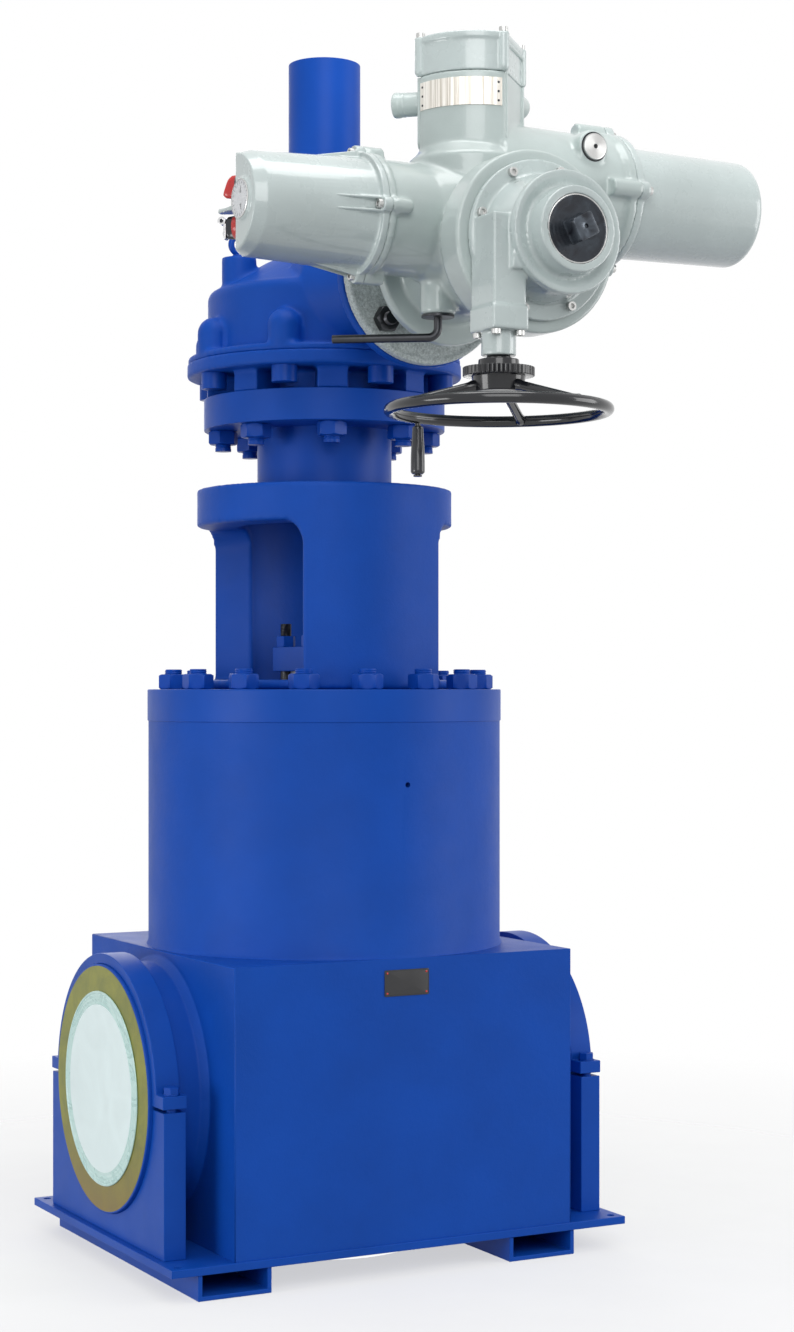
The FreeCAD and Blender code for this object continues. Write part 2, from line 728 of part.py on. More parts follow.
def thrust_ring():
    """Segmented ring locked in the neck groove above the seal: four pieces."""
    whole = tube(CHEST_R + THRUST_GROOVE, BONNET_SHOULDER_R, THRUST_HEIGHT, vec(0, 0, SEAL_TOP))
    reach, slit = CHEST_R + 40, 1.5
    slits = [block(-reach, reach, -slit, slit, SEAL_TOP - 1, THRUST_TOP + 1),
             block(-slit, slit, -reach, reach, SEAL_TOP - 1, THRUST_TOP + 1)]
    return cut_all(whole, slits)


def bonnet_ring():
    low = cylinder(RING_R, RING_HEIGHT, vec(0, 0, NECK_TOP))
    edge = Part.makeCone(RING_R, RING_R - RING_STEP, RING_STEP, vec(0, 0, RING_TOP - RING_STEP))
    rim = tube(RING_R + 1, RING_R - RING_STEP, RING_STEP, vec(0, 0, RING_TOP - RING_STEP))
    ring = low.cut(rim).fuse(edge)
    hole = cylinder(CHIMNEY_R + RING_HOLE_GAP, RING_HEIGHT + 2, vec(0, 0, NECK_TOP - 1))
    studs = [cylinder(STUD_R + STUD_FIT, RING_HEIGHT + 2, p - Z)
             for p in around(STUD_COUNT, STUD_PITCH_R, 180.0 / STUD_COUNT, NECK_TOP)]
    gland = [cylinder(GLAND_STUD_R + STUD_FIT, RING_HEIGHT + 2, p - Z) for p in gland_stud_points(NECK_TOP)]
    return cut_all(ring, [hole] + studs + gland)


def bonnet_studs():
    length = STUD_BURY + RING_HEIGHT + STUD_NUT_HEIGHT + STUD_END
    return [cylinder(STUD_R, length, p - Z * STUD_BURY)
            for p in around(STUD_COUNT, STUD_PITCH_R, 180.0 / STUD_COUNT, NECK_TOP)]


def bored_nut(across_flats, height, bore, start, axis=Z):
    return hexagon(across_flats, height, start, axis).cut(cylinder(bore, height + 2, start - axis, axis))


def bonnet_nuts():
    return [bored_nut(STUD_NUT_AF, STUD_NUT_HEIGHT, STUD_R, p)
            for p in around(STUD_COUNT, STUD_PITCH_R, 180.0 / STUD_COUNT, RING_TOP)]


def gland_packing():
    """Four packing rings around the stem."""
    height = (PACK_HEIGHT - GLAND_LIFT - 20) / 4
    base = CHIMNEY_TOP - PACK_HEIGHT
    return [tube(PACK_R, STEM_R + STEM_RUN, height, vec(0, 0, base + k * height)) for k in range(4)]


def gland_follower():
    bottom = CHIMNEY_TOP - GLAND_LIFT - 20
    lip = CHIMNEY_TOP + GLAND_LIFT
    profile = [(STEM_R + STEM_RUN, bottom), (PACK_R - SPINDLE_FIT, bottom), (PACK_R - SPINDLE_FIT, lip - FOLLOWER_LIP),
               (FOLLOWER_LIP_R, lip - FOLLOWER_LIP), (FOLLOWER_LIP_R, lip), (STEM_R + STEM_RUN, lip)]
    return turned(profile, vec(0, 0, 0), Z)


def gland_flange():
    """Square gland plate pulled down by four studs."""
    half, z = GLAND_SIDE / 2, CHIMNEY_TOP + GLAND_LIFT
    c = half - GLAND_CORNER
    outline = [(half, -c), (half, c), (c, half), (-c, half), (-half, c), (-half, -c), (-c, -half), (c, -half)]
    plate = prism(outline, GLAND_THICK, z)
    hole = cylinder(STEM_R + 2, GLAND_THICK + 2, vec(0, 0, z - 1))
    studs = [cylinder(GLAND_STUD_R + STUD_FIT, GLAND_THICK + 2, p) for p in gland_stud_points(z - 1)]
    return cut_all(plate, [hole] + studs)


def gland_studs():
    top = CHIMNEY_TOP + GLAND_LIFT + GLAND_THICK + GLAND_NUT_HEIGHT + GLAND_STUD_END
    bottom = THRUST_TOP - GLAND_STUD_BURY
    return [cylinder(GLAND_STUD_R, top - bottom, p) for p in gland_stud_points(bottom)]


def gland_nuts():
    z = CHIMNEY_TOP + GLAND_LIFT + GLAND_THICK
    return [bored_nut(GLAND_NUT_AF, GLAND_NUT_HEIGHT, GLAND_STUD_R, p) for p in gland_stud_points(z)]


def window_wire(x, side):
    """Window outline on the plane at distance x: square sill, elliptical head corners."""
    low, high = RING_TOP + WINDOW_SILL, YOKE_TOP - WINDOW_HEAD
    wide = x * math.tan(math.radians(WINDOW_HALF_DEG))
    start = x * math.tan(math.radians(WINDOW_HALF_DEG - WINDOW_CORNER_DEG))
    bend = high - WINDOW_CORNER
    mid = math.sqrt(0.5)

    def corner(sign, first):
        a, b = (wide, bend), (start, high)
        middle = (start + (wide - start) * mid, bend + WINDOW_CORNER * mid)
        order = [a, middle, b] if first else [b, middle, a]
        return Part.Arc(*[vec(side * x, sign * y, z) for y, z in order]).toShape()

    def line(y0, z0, y1, z1):
        return Part.makeLine(vec(side * x, y0, z0), vec(side * x, y1, z1))

    return Part.Wire([line(-wide, low, wide, low), line(wide, low, wide, bend), corner(1, True),
                      line(start, high, -start, high), corner(-1, False), line(-wide, bend, -wide, low)])


def yoke():
    """Thick tube with two windows whose jambs point at the stem, closed by a top plate."""
    inner = YOKE_R - YOKE_WALL
    barrel = cylinder(YOKE_R, YOKE_HEIGHT, vec(0, 0, RING_TOP))
    room = cylinder(inner, YOKE_HEIGHT - YOKE_TOP_PLATE, vec(0, 0, RING_TOP))
    throat = cylinder(YOKE_TOP_HOLE_R, YOKE_TOP_PLATE + 2, vec(0, 0, YOKE_TOP - YOKE_TOP_PLATE - 1))
    windows = [Part.makeLoft([window_wire(inner / 2, s), window_wire(YOKE_R * 1.1, s)], True, True)
               for s in (-1, 1)]
    return cut_all(barrel, [room, throat] + windows)


def body_nameplate():
    z = BLOCK_TOP - PLATE_BELOW_TOP
    y = -BLOCK_WIDTH / 2
    return block(PLATE_X - PLATE_WIDTH / 2, PLATE_X + PLATE_WIDTH / 2, y - PLATE_THICK, y,
                 z - PLATE_HEIGHT / 2, z + PLATE_HEIGHT / 2)


def column_stud_points(z):
    return around(COLUMN_BOLT_COUNT, COLUMN_BOLT_R, 180.0 / COLUMN_BOLT_COUNT, z)


def yoke_column():
    profile = [(COLUMN_R - COLUMN_WALL, YOKE_TOP), (COLUMN_R, YOKE_TOP), (COLUMN_R, COLUMN_TOP),
               (COLUMN_FLANGE_R, COLUMN_TOP), (COLUMN_FLANGE_R, GEAR_FOOT_Z),
               (COLUMN_R - COLUMN_WALL, GEAR_FOOT_Z)]
    column = turned(profile, vec(0, 0, 0), Z)
    return cut_all(column, [cylinder(COLUMN_STUD_R + STUD_FIT, COLUMN_FLANGE + 2, p - Z)
                            for p in column_stud_points(COLUMN_TOP)])


def column_studs():
    low = COLUMN_TOP - COLUMN_NUT_HEIGHT - COLUMN_STUD_END
    length = GEAR_FOOT_Z + COLUMN_STUD_RISE - low
    return [cylinder(COLUMN_STUD_R, length, p) for p in column_stud_points(low)]


def column_nuts():
    low = COLUMN_TOP - COLUMN_NUT_HEIGHT
    return [bored_nut(COLUMN_NUT_AF, COLUMN_NUT_HEIGHT, COLUMN_STUD_R, p) for p in column_stud_points(low)]


def gearbox_base():
    """Base plate on eight square feet around a hub that carries the nut bearing."""
    plate = cylinder(GEAR_BASE_R, GEAR_BASE_PLATE, vec(0, 0, GEAR_PLATE_Z))
    hub = cylinder(GEAR_BASE_HUB_R, FOOT_HEIGHT, vec(0, 0, GEAR_FOOT_Z))
    foot = block(FOOT_IN_R - 30, FOOT_OUT_R, -FOOT_TANGENT / 2, FOOT_TANGENT / 2, GEAR_FOOT_Z, GEAR_PLATE_Z)
    feet = []
    for k in range(COLUMN_BOLT_COUNT):
        turned_foot = foot.copy()
        turned_foot.rotate(vec(0, 0, 0), Z, (k + 0.5) * 360.0 / COLUMN_BOLT_COUNT)
        feet.append(turned_foot)
    base = fuse([plate, hub] + feet)
    bore = cylinder(GEAR_BASE_BORE_R, FOOT_HEIGHT + GEAR_BASE_PLATE + 2, vec(0, 0, GEAR_FOOT_Z - 1))
    studs = [cylinder(COLUMN_STUD_R, COLUMN_STUD_RISE + 1, p - Z) for p in column_stud_points(GEAR_FOOT_Z)]
    bolts = [cylinder(CASE_BOLT_SHANK_R, GEAR_BASE_PLATE + 2, p - Z)
             for p in around(COLUMN_BOLT_COUNT, CASE_BOLT_R, 0, GEAR_PLATE_Z)]
    return cut_all(base, [bore] + studs + bolts)


def case_boss(point):
    """Bolt boss with a domed top, standing on the case flange."""
    post = cylinder(CASE_BOSS_R, CASE_BOSS_RISE, point)
    dome = Part.makeSphere(CASE_BOSS_R, point + Z * CASE_BOSS_RISE, Z, 0, 90, 360)
    return post.fuse(dome)


def gearbox_housing():
    """Domed case with bolt bosses, an eye boss and the input neck."""
    flange_top = CASE_Z + CASE_FLANGE
    shoulder = CASE_Z + CASE_SHOULDER_Z
    crown = CASE_Z + CASE_TOP_Z
    outer = [(0, CASE_Z), (CASE_FLANGE_R, CASE_Z), (CASE_FLANGE_R, flange_top - 3),
             (CASE_FLANGE_R - 3, flange_top), (CASE_R, flange_top), (CASE_R, shoulder - CASE_SHOULDER),
             (CASE_R - CASE_SHOULDER * 0.3, shoulder - CASE_SHOULDER * 0.3),
             (CASE_R - CASE_SHOULDER, shoulder), (CASE_TOP_R, crown), (0, crown)]
    shell = turned(outer, vec(0, 0, 0), Z)
    bosses = [case_boss(p) for p in around(COLUMN_BOLT_COUNT, CASE_BOLT_R, 0, flange_top)]
    eye = cylinder(EYE_BOSS_R, EYE_BOSS_RISE - CASE_FLANGE * 4, vec(EYE_BOSS_X, 0, CASE_Z + CASE_FLANGE * 4))
    centre = vec(0, 0, INPUT_Z)
    neck = turned([(0, CASE_R * 0.5), (NECK_CONE_R, CASE_R * 0.5), (NECK_CONE_R, NECK_CONE_START),
                   (NECK_TUBE_R, NECK_CONE_END), (NECK_TUBE_R, IN_FACE_Y - IN_FLANGE),
                   (IN_FLANGE_R, IN_FACE_Y - IN_FLANGE), (IN_FLANGE_R, IN_FACE_Y), (0, IN_FACE_Y)],
                  centre, -Y)
    case = fuse([shell] + bosses + [eye, neck])
    wall = CASE_WALL
    room = turned([(0, CASE_Z - 1), (CASE_R - wall, CASE_Z - 1), (CASE_R - wall, shoulder - wall),
                   (CASE_TOP_R, crown - wall - CASE_CROWN), (0, crown - wall - CASE_CROWN)], vec(0, 0, 0), Z)
    throat = cylinder(NECK_BORE_R, IN_FACE_Y + 1, centre, -Y)
    stem_hole = cylinder(NUT_R + BEARING_RUN + 1, CASE_TOP_Z, vec(0, 0, CASE_Z + 50))
    bolts = [cylinder(CASE_BOLT_SHANK_R, CASE_FLANGE + CASE_BOSS_RISE, p)
             for p in around(COLUMN_BOLT_COUNT, CASE_BOLT_R, 0, CASE_Z)]
    eye_hole = cylinder(EYE_STEM_R, EYE_STEM_BURY + 1, vec(EYE_BOSS_X, 0, CASE_Z + EYE_BOSS_RISE - EYE_STEM_BURY))
    adapter = [cylinder(ADAPTER_BOLT_SHANK_R, ADAPTER_BOLT_BURY + 1,
                        p + Y * ADAPTER_BOLT_BURY, -Y)
               for p in around_input(ADAPTER_BOLT_COUNT, ADAPTER_BOLT_R, 45, IN_FACE_Y)]
    below = block(-CASE_R, CASE_R, -GEAR_BASE_R - 10, GEAR_BASE_R, CASE_Z - NECK_CONE_R, CASE_Z)
    return cut_all(case, [room, throat, stem_hole, eye_hole, below] + bolts + adapter)


def gearbox_bolts():
    """Round-headed bolts from below the base plate up into the case bosses."""
    bolts = []
    for p in around(COLUMN_BOLT_COUNT, CASE_BOLT_R, 0, GEAR_PLATE_Z):
        head = cylinder(CASE_BOLT_HEAD_R, CASE_BOLT_HEAD, p - Z * CASE_BOLT_HEAD)
        shank = cylinder(CASE_BOLT_SHANK_R, GEAR_BASE_PLATE + CASE_FLANGE + CASE_BOSS_RISE - 2, p)
        bolts.append(fuse([head, shank]))
    return bolts


def stem_cover_tube():
    """Closed tube over the risen stem."""
    foot = CASE_Z + CASE_TOP_Z
    outer = cylinder(COVER_TUBE_R, COVER_TUBE_TOP - foot, vec(0, 0, foot))
    inner = cylinder(COVER_TUBE_R - COVER_TUBE_WALL, COVER_TUBE_TOP - COVER_TUBE_WALL - foot, vec(0, 0, foot))
    collar = tube(COVER_TUBE_R + 10, COVER_TUBE_R - 1, COVER_TUBE_FOOT, vec(0, 0, foot))
    return fuse([outer.cut(inner), collar])


def lifting_eye():
    top = CASE_Z + EYE_BOSS_RISE
    ring_z = top + EYE_COLLAR + EYE_RING_R + EYE_WIRE_R - 2
    ring = Part.makeTorus(EYE_RING_R, EYE_WIRE_R, vec(EYE_BOSS_X, 0, ring_z), Y)
    collar = cylinder(EYE_COLLAR_R, EYE_COLLAR, vec(EYE_BOSS_X, 0, top))
    stub = cylinder(EYE_STEM_R, EYE_STEM_BURY, vec(EYE_BOSS_X, 0, top - EYE_STEM_BURY))
    return fuse([ring, collar, stub])


def involute(radius_base, radius):
    """Angle that an involute has turned through where it reaches a radius."""
    if radius <= radius_base:
        return 0.0
    ratio = math.acos(radius_base / radius)
    return math.tan(ratio) - ratio


def tooth_outline(pitch_r, teeth, cone_deg, addendum, dedendum):
    """Tooth outline on the back cone, as (sideways, outward) from the pitch point."""
    virtual = pitch_r / math.cos(math.radians(cone_deg))
    count = teeth / math.cos(math.radians(cone_deg))
    base = virtual * math.cos(math.radians(PRESSURE_DEG))
    half = math.pi / (2 * count) - FLANK_BACKLASH / virtual + involute(base, virtual)
    root, tip = virtual - dedendum, virtual + addendum
    radii = [root, max(root, base), virtual, virtual + addendum / 2, tip]
    right = [(r * math.sin(half - involute(base, r)), r * math.cos(half - involute(base, r)) - virtual)
             for r in radii]
    if right[0] == right[1]:
        right = right[1:]
    left = [(-s, t) for s, t in reversed(right)]
    sink = 3.0
    return [(right[0][0], right[0][1] - sink)] + right + left + [(left[-1][0], left[-1][1] - sink)]


def bevel_teeth(pitch_r, teeth, other_r, addendum, dedendum, first_deg):
    """Straight bevel teeth about +Z, every flank line running to the apex at the origin."""
    cone = math.atan2(pitch_r, other_r)
    along = vec(math.sin(cone), 0, -math.cos(cone))
    outward = vec(math.cos(cone), 0, math.sin(cone))
    heel = [along * CONE_LENGTH + Y * s + outward * t
            for s, t in tooth_outline(pitch_r, teeth, math.degrees(cone), addendum, dedendum)]
    shrink = (CONE_LENGTH - FACE_WIDTH) / CONE_LENGTH
    toe = [p * shrink for p in heel]
    wires = [Part.makePolygon(points + points[:1]) for points in (heel, toe)]
    tooth = Part.makeLoft(wires, True, True)
    copies = []
    for k in range(teeth):
        one = tooth.copy()
        one.rotate(vec(0, 0, 0), Z, first_deg + k * 360.0 / teeth)
        copies.append(one)
    return copies


def bevel_blank(pitch_r, other_r, dedendum, hub_r, back):
    """Turned blank under the teeth, from the toe to a flat back."""
    cone = math.atan2(pitch_r, other_r)
    shrink = (CONE_LENGTH - FACE_WIDTH) / CONE_LENGTH
    heel = (pitch_r - dedendum * math.cos(cone), -other_r - dedendum * math.sin(cone))
    toe = (heel[0] * shrink, heel[1] * shrink)
    profile = [(hub_r, toe[1]), toe, heel, (heel[0], back), (hub_r, back)]
    return turned(profile, vec(0, 0, 0), Z)


def bevel_gear():
    """Crown side of the bevel pair, keyed on the stem nut."""
    dedendum = PINION_ADDENDUM * MODULE + TIP_ROOM
    back = -(PINION_R + MODULE * 4)
    blank = bevel_blank(GEAR_R, PINION_R, dedendum, NUT_R, back)
    teeth = bevel_teeth(GEAR_R, GEAR_TEETH, PINION_R, GEAR_ADDENDUM * MODULE, dedendum, 180.0 / GEAR_TEETH)
    gear = fuse([blank] + teeth)
    gear.translate(vec(0, 0, INPUT_Z))
    return gear


def pinion_shaft():
    """Bevel pinion on its shaft, which reaches into the actuator's drive sleeve."""
    dedendum = GEAR_ADDENDUM * MODULE + TIP_ROOM
    back = -(GEAR_R + MODULE * 2)
    blank = bevel_blank(PINION_R, GEAR_R, dedendum, 0, back)
    teeth = bevel_teeth(PINION_R, PINION_TEETH, GEAR_R, PINION_ADDENDUM * MODULE, dedendum, 0)
    shaft = cylinder(SHAFT_R, SLEEVE_START + SHAFT_LAP - GEAR_R, vec(0, 0, -SLEEVE_START - SHAFT_LAP))
    pinion = fuse([blank] + teeth + [shaft])
    pinion.rotate(vec(0, 0, 0), X, -90)
    pinion.translate(vec(0, 0, INPUT_Z))
    return pinion


def drive_sleeve():
    """Hollow output shaft of the actuator, keyed on the pinion shaft."""
    return tube(SLEEVE_R, SHAFT_R, SLEEVE_END - SLEEVE_START, vec(0, -SLEEVE_START, INPUT_Z), -Y)


def stem_nut():
    """Bronze nut on the stem thread, with the flange that carries the thrust."""
    low = CASE_Z - NUT_BELOW
    flange = CASE_Z + BEARING_HEIGHT + BEARING_FACE_GAP
    profile = [(STEM_R + STEM_RUN, low), (NUT_R, low), (NUT_R, flange), (NUT_FLANGE_R, flange),
               (NUT_FLANGE_R, flange + NUT_FLANGE), (NUT_R, flange + NUT_FLANGE),
               (NUT_R, CASE_Z + NUT_TOP), (STEM_R + STEM_RUN, CASE_Z + NUT_TOP)]
    return turned(profile, vec(0, 0, 0), Z)


def nut_bearings():
    """Thrust bearing under the nut flange and guide bearing in the crown of the case."""
    lower = tube(BEARING_R, NUT_R + BEARING_RUN, BEARING_HEIGHT, vec(0, 0, CASE_Z))
    crown = CASE_Z + CASE_TOP_Z - CASE_WALL - CASE_CROWN
    upper = tube(TOP_BEARING_R, NUT_R + BEARING_RUN, TOP_BEARING_HEIGHT, vec(0, 0, crown - TOP_BEARING_HEIGHT))
    return [lower, upper]


def shaft_bearings():
    """Bearings of the input shaft in the neck and of the drive sleeve in the actuator."""
    neck = tube(NECK_BORE_R, SHAFT_R + BEARING_RUN, SHAFT_BEARING_LENGTH, vec(0, -SHAFT_BEARING_Y, INPUT_Z), -Y)
    rear = IN_FACE_Y + ADAPTER_FLANGE + ADAPTER_NECK + BASE_DISC
    spots = [rear, RIM_FACE_Y - SLEEVE_BEARING]
    rings = [tube(SLEEVE_BORE_R, SLEEVE_R + BEARING_RUN, SLEEVE_BEARING, vec(0, -y, INPUT_Z), -Y) for y in spots]
    return [neck] + rings


def adapter_flange():
    """Spool with a wide bolted flange; its face inside the rim is left rough and slightly dished."""
    face = IN_FACE_Y + ADAPTER_FLANGE
    end = face + ADAPTER_NECK
    profile = [(ADAPTER_BORE_R, IN_FACE_Y), (ADAPTER_R, IN_FACE_Y), (ADAPTER_R, face - 2),
               (ADAPTER_R - 2, face), (ADAPTER_R - ADAPTER_RIM, face),
               (ADAPTER_R - ADAPTER_RIM - 2, face - ADAPTER_DISH),
               (ADAPTER_NECK_R, face - ADAPTER_DISH), (ADAPTER_NECK_R, end), (ADAPTER_BORE_R, end)]
    spool = turned(profile, vec(0, 0, INPUT_Z), -Y)
    return cut_all(spool, [cylinder(ADAPTER_BOLT_SHANK_R, ADAPTER_FLANGE + 2, p + Y, -Y)
                           for p in around_input(ADAPTER_BOLT_COUNT, ADAPTER_BOLT_R, 45, IN_FACE_Y)])


def adapter_bolts():
    bolts = []
    seat = ADAPTER_FLANGE - ADAPTER_DISH
    for p in around_input(ADAPTER_BOLT_COUNT, ADAPTER_BOLT_R, 45, IN_FACE_Y):
        shank = cylinder(ADAPTER_BOLT_SHANK_R, ADAPTER_BOLT_BURY + seat, p + Y * ADAPTER_BOLT_BURY, -Y)
        head = hexagon(ADAPTER_BOLT_AF, ADAPTER_BOLT_HEAD, p - Y * seat, -Y)
        bolts.append(fuse([shank, head]))
    return bolts


def lobe_centres(axis_z, radius):
    """Screw lobes at the four quarters of a flange about an arm's axis, as (y, z)."""
    return [(ARM_Y - radius, axis_z), (ARM_Y, axis_z + radius), (ARM_Y + radius, axis_z), (ARM_Y, axis_z - radius)]


def lobes(x, length, axis_z, radius, size):
    return [cylinder(size, abs(length), vec(min(x, x + length), y, z), X) for y, z in lobe_centres(axis_z, radius)]


def tower_arc():
    """Radius and centre distance of the bowed front, from its chord and its nose."""
    rise = TOWER_NOSE - TOWER_FRONT
    radius = (TOWER_SIDE ** 2 / 4 + rise ** 2) / (2 * rise)
    return radius, TOWER_NOSE - radius


def tower_turn(shape):
    """A shape built about the tower's axis, its front to -Y, turned and moved into place."""
    shape.rotate(vec(0, 0, 0), Z, TOWER_DEG)
    shape.translate(vec(TOWER_X, ARM_Y, 0))
    return shape


def tower_spot(x, y, z=0.0):
    a = math.radians(TOWER_DEG)
    return vec(TOWER_X + x * math.cos(a) - y * math.sin(a), ARM_Y + x * math.sin(a) + y * math.cos(a), z)


def tower_outline(grow=0.0):
    """Bowed front and square back about the origin, as a wire on z = 0."""
    half = TOWER_SIDE / 2 + grow
    radius, centre = tower_arc()
    reach = math.sqrt((radius + grow) ** 2 - half ** 2) + centre
    arc = Part.Arc(vec(-half, -reach, 0), vec(0, -TOWER_NOSE - grow, 0), vec(half, -reach, 0)).toShape()
    points = [vec(half, -reach, 0), vec(half, half, 0), vec(-half, half, 0), vec(-half, -reach, 0)]
    return Part.Wire([arc] + [Part.makeLine(a, b) for a, b in zip(points, points[1:])])


def tower_solid(z0, z1, grow=0.0):
    face = Part.Face(tower_outline(grow))
    face.translate(vec(0, 0, z0))
    return tower_turn(face.extrude(vec(0, 0, z1 - z0)))


def actuator_housing():
    """Gearcase about the input axis with control arm, motor arm, terminal tower and lever boss."""
    start = IN_FACE_Y + ADAPTER_FLANGE + ADAPTER_NECK
    axis = vec(0, 0, INPUT_Z)
    case = turned([(0, start), (BASE_R, start), (BASE_R, start + BASE_DISC), (GEARCASE_R, start + BASE_DISC),
                   (GEARCASE_R, RIM_CONE_Y), (RIM_R - RIM_ROUND, RIM_BACK_Y), (RIM_R, RIM_BACK_Y + RIM_ROUND),
                   (RIM_R, RIM_FACE_Y - 3), (RIM_R - 3, RIM_FACE_Y), (0, RIM_FACE_Y)], axis, -Y)
    control = turned([(0, 0), (CONTROL_ARM_ROOT_R, 0), (CONTROL_ARM_ROOT_R, -CONTROL_ARM_ROOT_X),
                      (CONTROL_ARM_R, -CONTROL_ARM_ROOT_X + 60), (CONTROL_ARM_R, -CONTROL_FLANGE_X - CONTROL_FLANGE),
                      (CONTROL_FLANGE_R, -CONTROL_FLANGE_X - CONTROL_FLANGE),
                      (CONTROL_FLANGE_R, -CONTROL_FLANGE_X), (0, -CONTROL_FLANGE_X)], vec(0, ARM_Y, CONTROL_Z), -X)
    motor = turned([(0, 0), (MOTOR_ARM_ROOT_R, 0), (MOTOR_ARM_R, MOTOR_FLANGE_X - MOTOR_FLANGE),
                    (MOTOR_FLANGE_R, MOTOR_FLANGE_X - MOTOR_FLANGE), (MOTOR_FLANGE_R, MOTOR_FLANGE_X),
                    (0, MOTOR_FLANGE_X)], vec(0, ARM_Y, MOTOR_Z), X)
    web = turned([(0, 0), (MOTOR_ARM_ROOT_R, 0), (MOTOR_ARM_ROOT_R * 0.8, MOTOR_FLANGE_X * 0.7),
                  (0, MOTOR_FLANGE_X * 0.7)], vec(0, ARM_Y, (INPUT_Z + MOTOR_Z) / 2), X)
    tower = tower_solid(CONTROL_Z, TOWER_TOP)
    flare = Part.makeCone(TOWER_FLARE_R, TOWER_SIDE / 2, TOWER_FLARE_R - TOWER_SIDE / 2,
                          vec(TOWER_X, ARM_Y, TOWER_FLARE_Z))
    root = cylinder(TOWER_FLARE_R, TOWER_FLARE_Z - CONTROL_Z, vec(TOWER_X, ARM_Y, CONTROL_Z))
    boss = cylinder(LEVER_BOSS_R, CONTROL_Z - LEVER_BOSS_BOTTOM, vec(LEVER_X, ARM_Y, LEVER_BOSS_BOTTOM))
    oil = cylinder(OIL_BOSS_R, -OIL_BOSS_Y + ARM_Y, vec(OIL_PLUG_X, ARM_Y, MOTOR_Z + OIL_PLUG_RISE), -Y)
    arms = lobes(CONTROL_FLANGE_X, LOBE_LENGTH, CONTROL_Z, CONTROL_FLANGE_R, LOBE_R)
    arms += lobes(MOTOR_FLANGE_X, -MOTOR_LOBE_LENGTH, MOTOR_Z, MOTOR_FLANGE_R, MOTOR_LOBE_R)
    glands = [cylinder(CONDUIT_R, TOWER_SIDE / 2 + CONDUIT_LENGTH, root, way) for root, way in conduits()]
    housing = fuse([case, control, motor, web, tower, flare, root, boss, oil] + arms + glands)
    spindle = cylinder(LEVER_ROD_R + SPINDLE_FIT, LEVER_SPINDLE, vec(LEVER_X, ARM_Y, LEVER_BOSS_BOTTOM - 1))
    bore = cylinder(SLEEVE_BORE_R, RIM_FACE_Y - start + 2, vec(0, 1 - start, INPUT_Z), -Y)
    entries = [cylinder(CONDUIT_HOLE_R, CONDUIT_HOLE_DEPTH + 1, conduit_end(c) - c[1] * CONDUIT_HOLE_DEPTH, c[1])
               for c in conduits()]
    return cut_all(housing, [spindle, bore] + entries)


def conduits():
    """Root and direction of the cable entries on the tower's left and back faces."""
    z = TOWER_TOP + TOWER_LID - CONDUIT_DROP
    left = tower_spot(-1, 0) - tower_spot(0, 0)
    back = tower_spot(0, 1) - tower_spot(0, 0)
    return [(tower_spot(0, -CONDUIT_LEFT_OFFSET, z), left),
            (tower_spot(CONDUIT_BACK_OFFSET, 0, z + CONDUIT_BACK_RISE), back)]


def conduit_end(conduit):
    return conduit[0] + conduit[1] * (TOWER_SIDE / 2 + CONDUIT_LENGTH)


def conduit_plugs():
    """Blanking plugs screwed into the cable entries."""
    plugs = []
    for c in conduits():
        end = conduit_end(c)
        shank = cylinder(CONDUIT_HOLE_R, CONDUIT_HOLE_DEPTH - 4, end - c[1] * (CONDUIT_HOLE_DEPTH - 4), c[1])
        plugs.append(fuse([shank, hexagon(CONDUIT_R * 1.6, CONDUIT_HEAD, end, c[1])]))
    return plugs


def tower_posts():
    """Screw post centres at the four corners of the terminal cover."""
    back = TOWER_SIDE / 2 - POST_R * 0.4
    spots = [tower_spot(s * x, y) for x, y in ((POST_SPREAD, -TOWER_FRONT), (back, back)) for s in (-1, 1)]
    return [(p.x, p.y) for p in spots]


def terminal_cover():
    """Lid of the terminal chamber: skirt, top plate and corner posts."""
    top = TOWER_TOP + TOWER_LID
    skirt = tower_solid(TOWER_TOP, top)
    plate = tower_solid(top, top + TOWER_LID_PLATE, TOWER_LID_OVER)
    posts = [cylinder(POST_R, POST_LENGTH - POST_R, vec(x, y, top + TOWER_LID_PLATE - POST_LENGTH + POST_R))
             for x, y in tower_posts()]
    tips = [Part.makeSphere(POST_R, vec(x, y, top + TOWER_LID_PLATE - POST_LENGTH + POST_R))
            for x, y in tower_posts()]
    cover = fuse([skirt, plate] + posts + tips)
    return cover.cut(tower_solid(TOWER_TOP - 2 * TOWER_LID, TOWER_TOP))


def rating_band():
    """Bent metal band riveted round the bowed front of the tower."""
    low = TOWER_TOP + TOWER_LID + TOWER_LID_PLATE - BAND_DROP - BAND_HEIGHT
    radius, centre = tower_arc()
    inner = radius + BAND_GAP
    ring = tube(inner + BAND_THICK, inner, BAND_HEIGHT, vec(0, -centre, low))
    front = block(-BAND_HALF_WIDTH, BAND_HALF_WIDTH, -2 * TOWER_NOSE, -centre, low, low + BAND_HEIGHT)
    return tower_turn(ring.common(front))


def facet_frame():
    """Origin and outward normal of the slanted selector facet."""
    start = vec(CONTROL_END_X, ARM_Y + FACET_Y_OFFSET, CONTROL_Z)
    along = vec(math.sqrt(0.5), math.sqrt(0.5), 0)
    return start + along * KNOB_ALONG, vec(-math.sqrt(0.5), math.sqrt(0.5), 0)


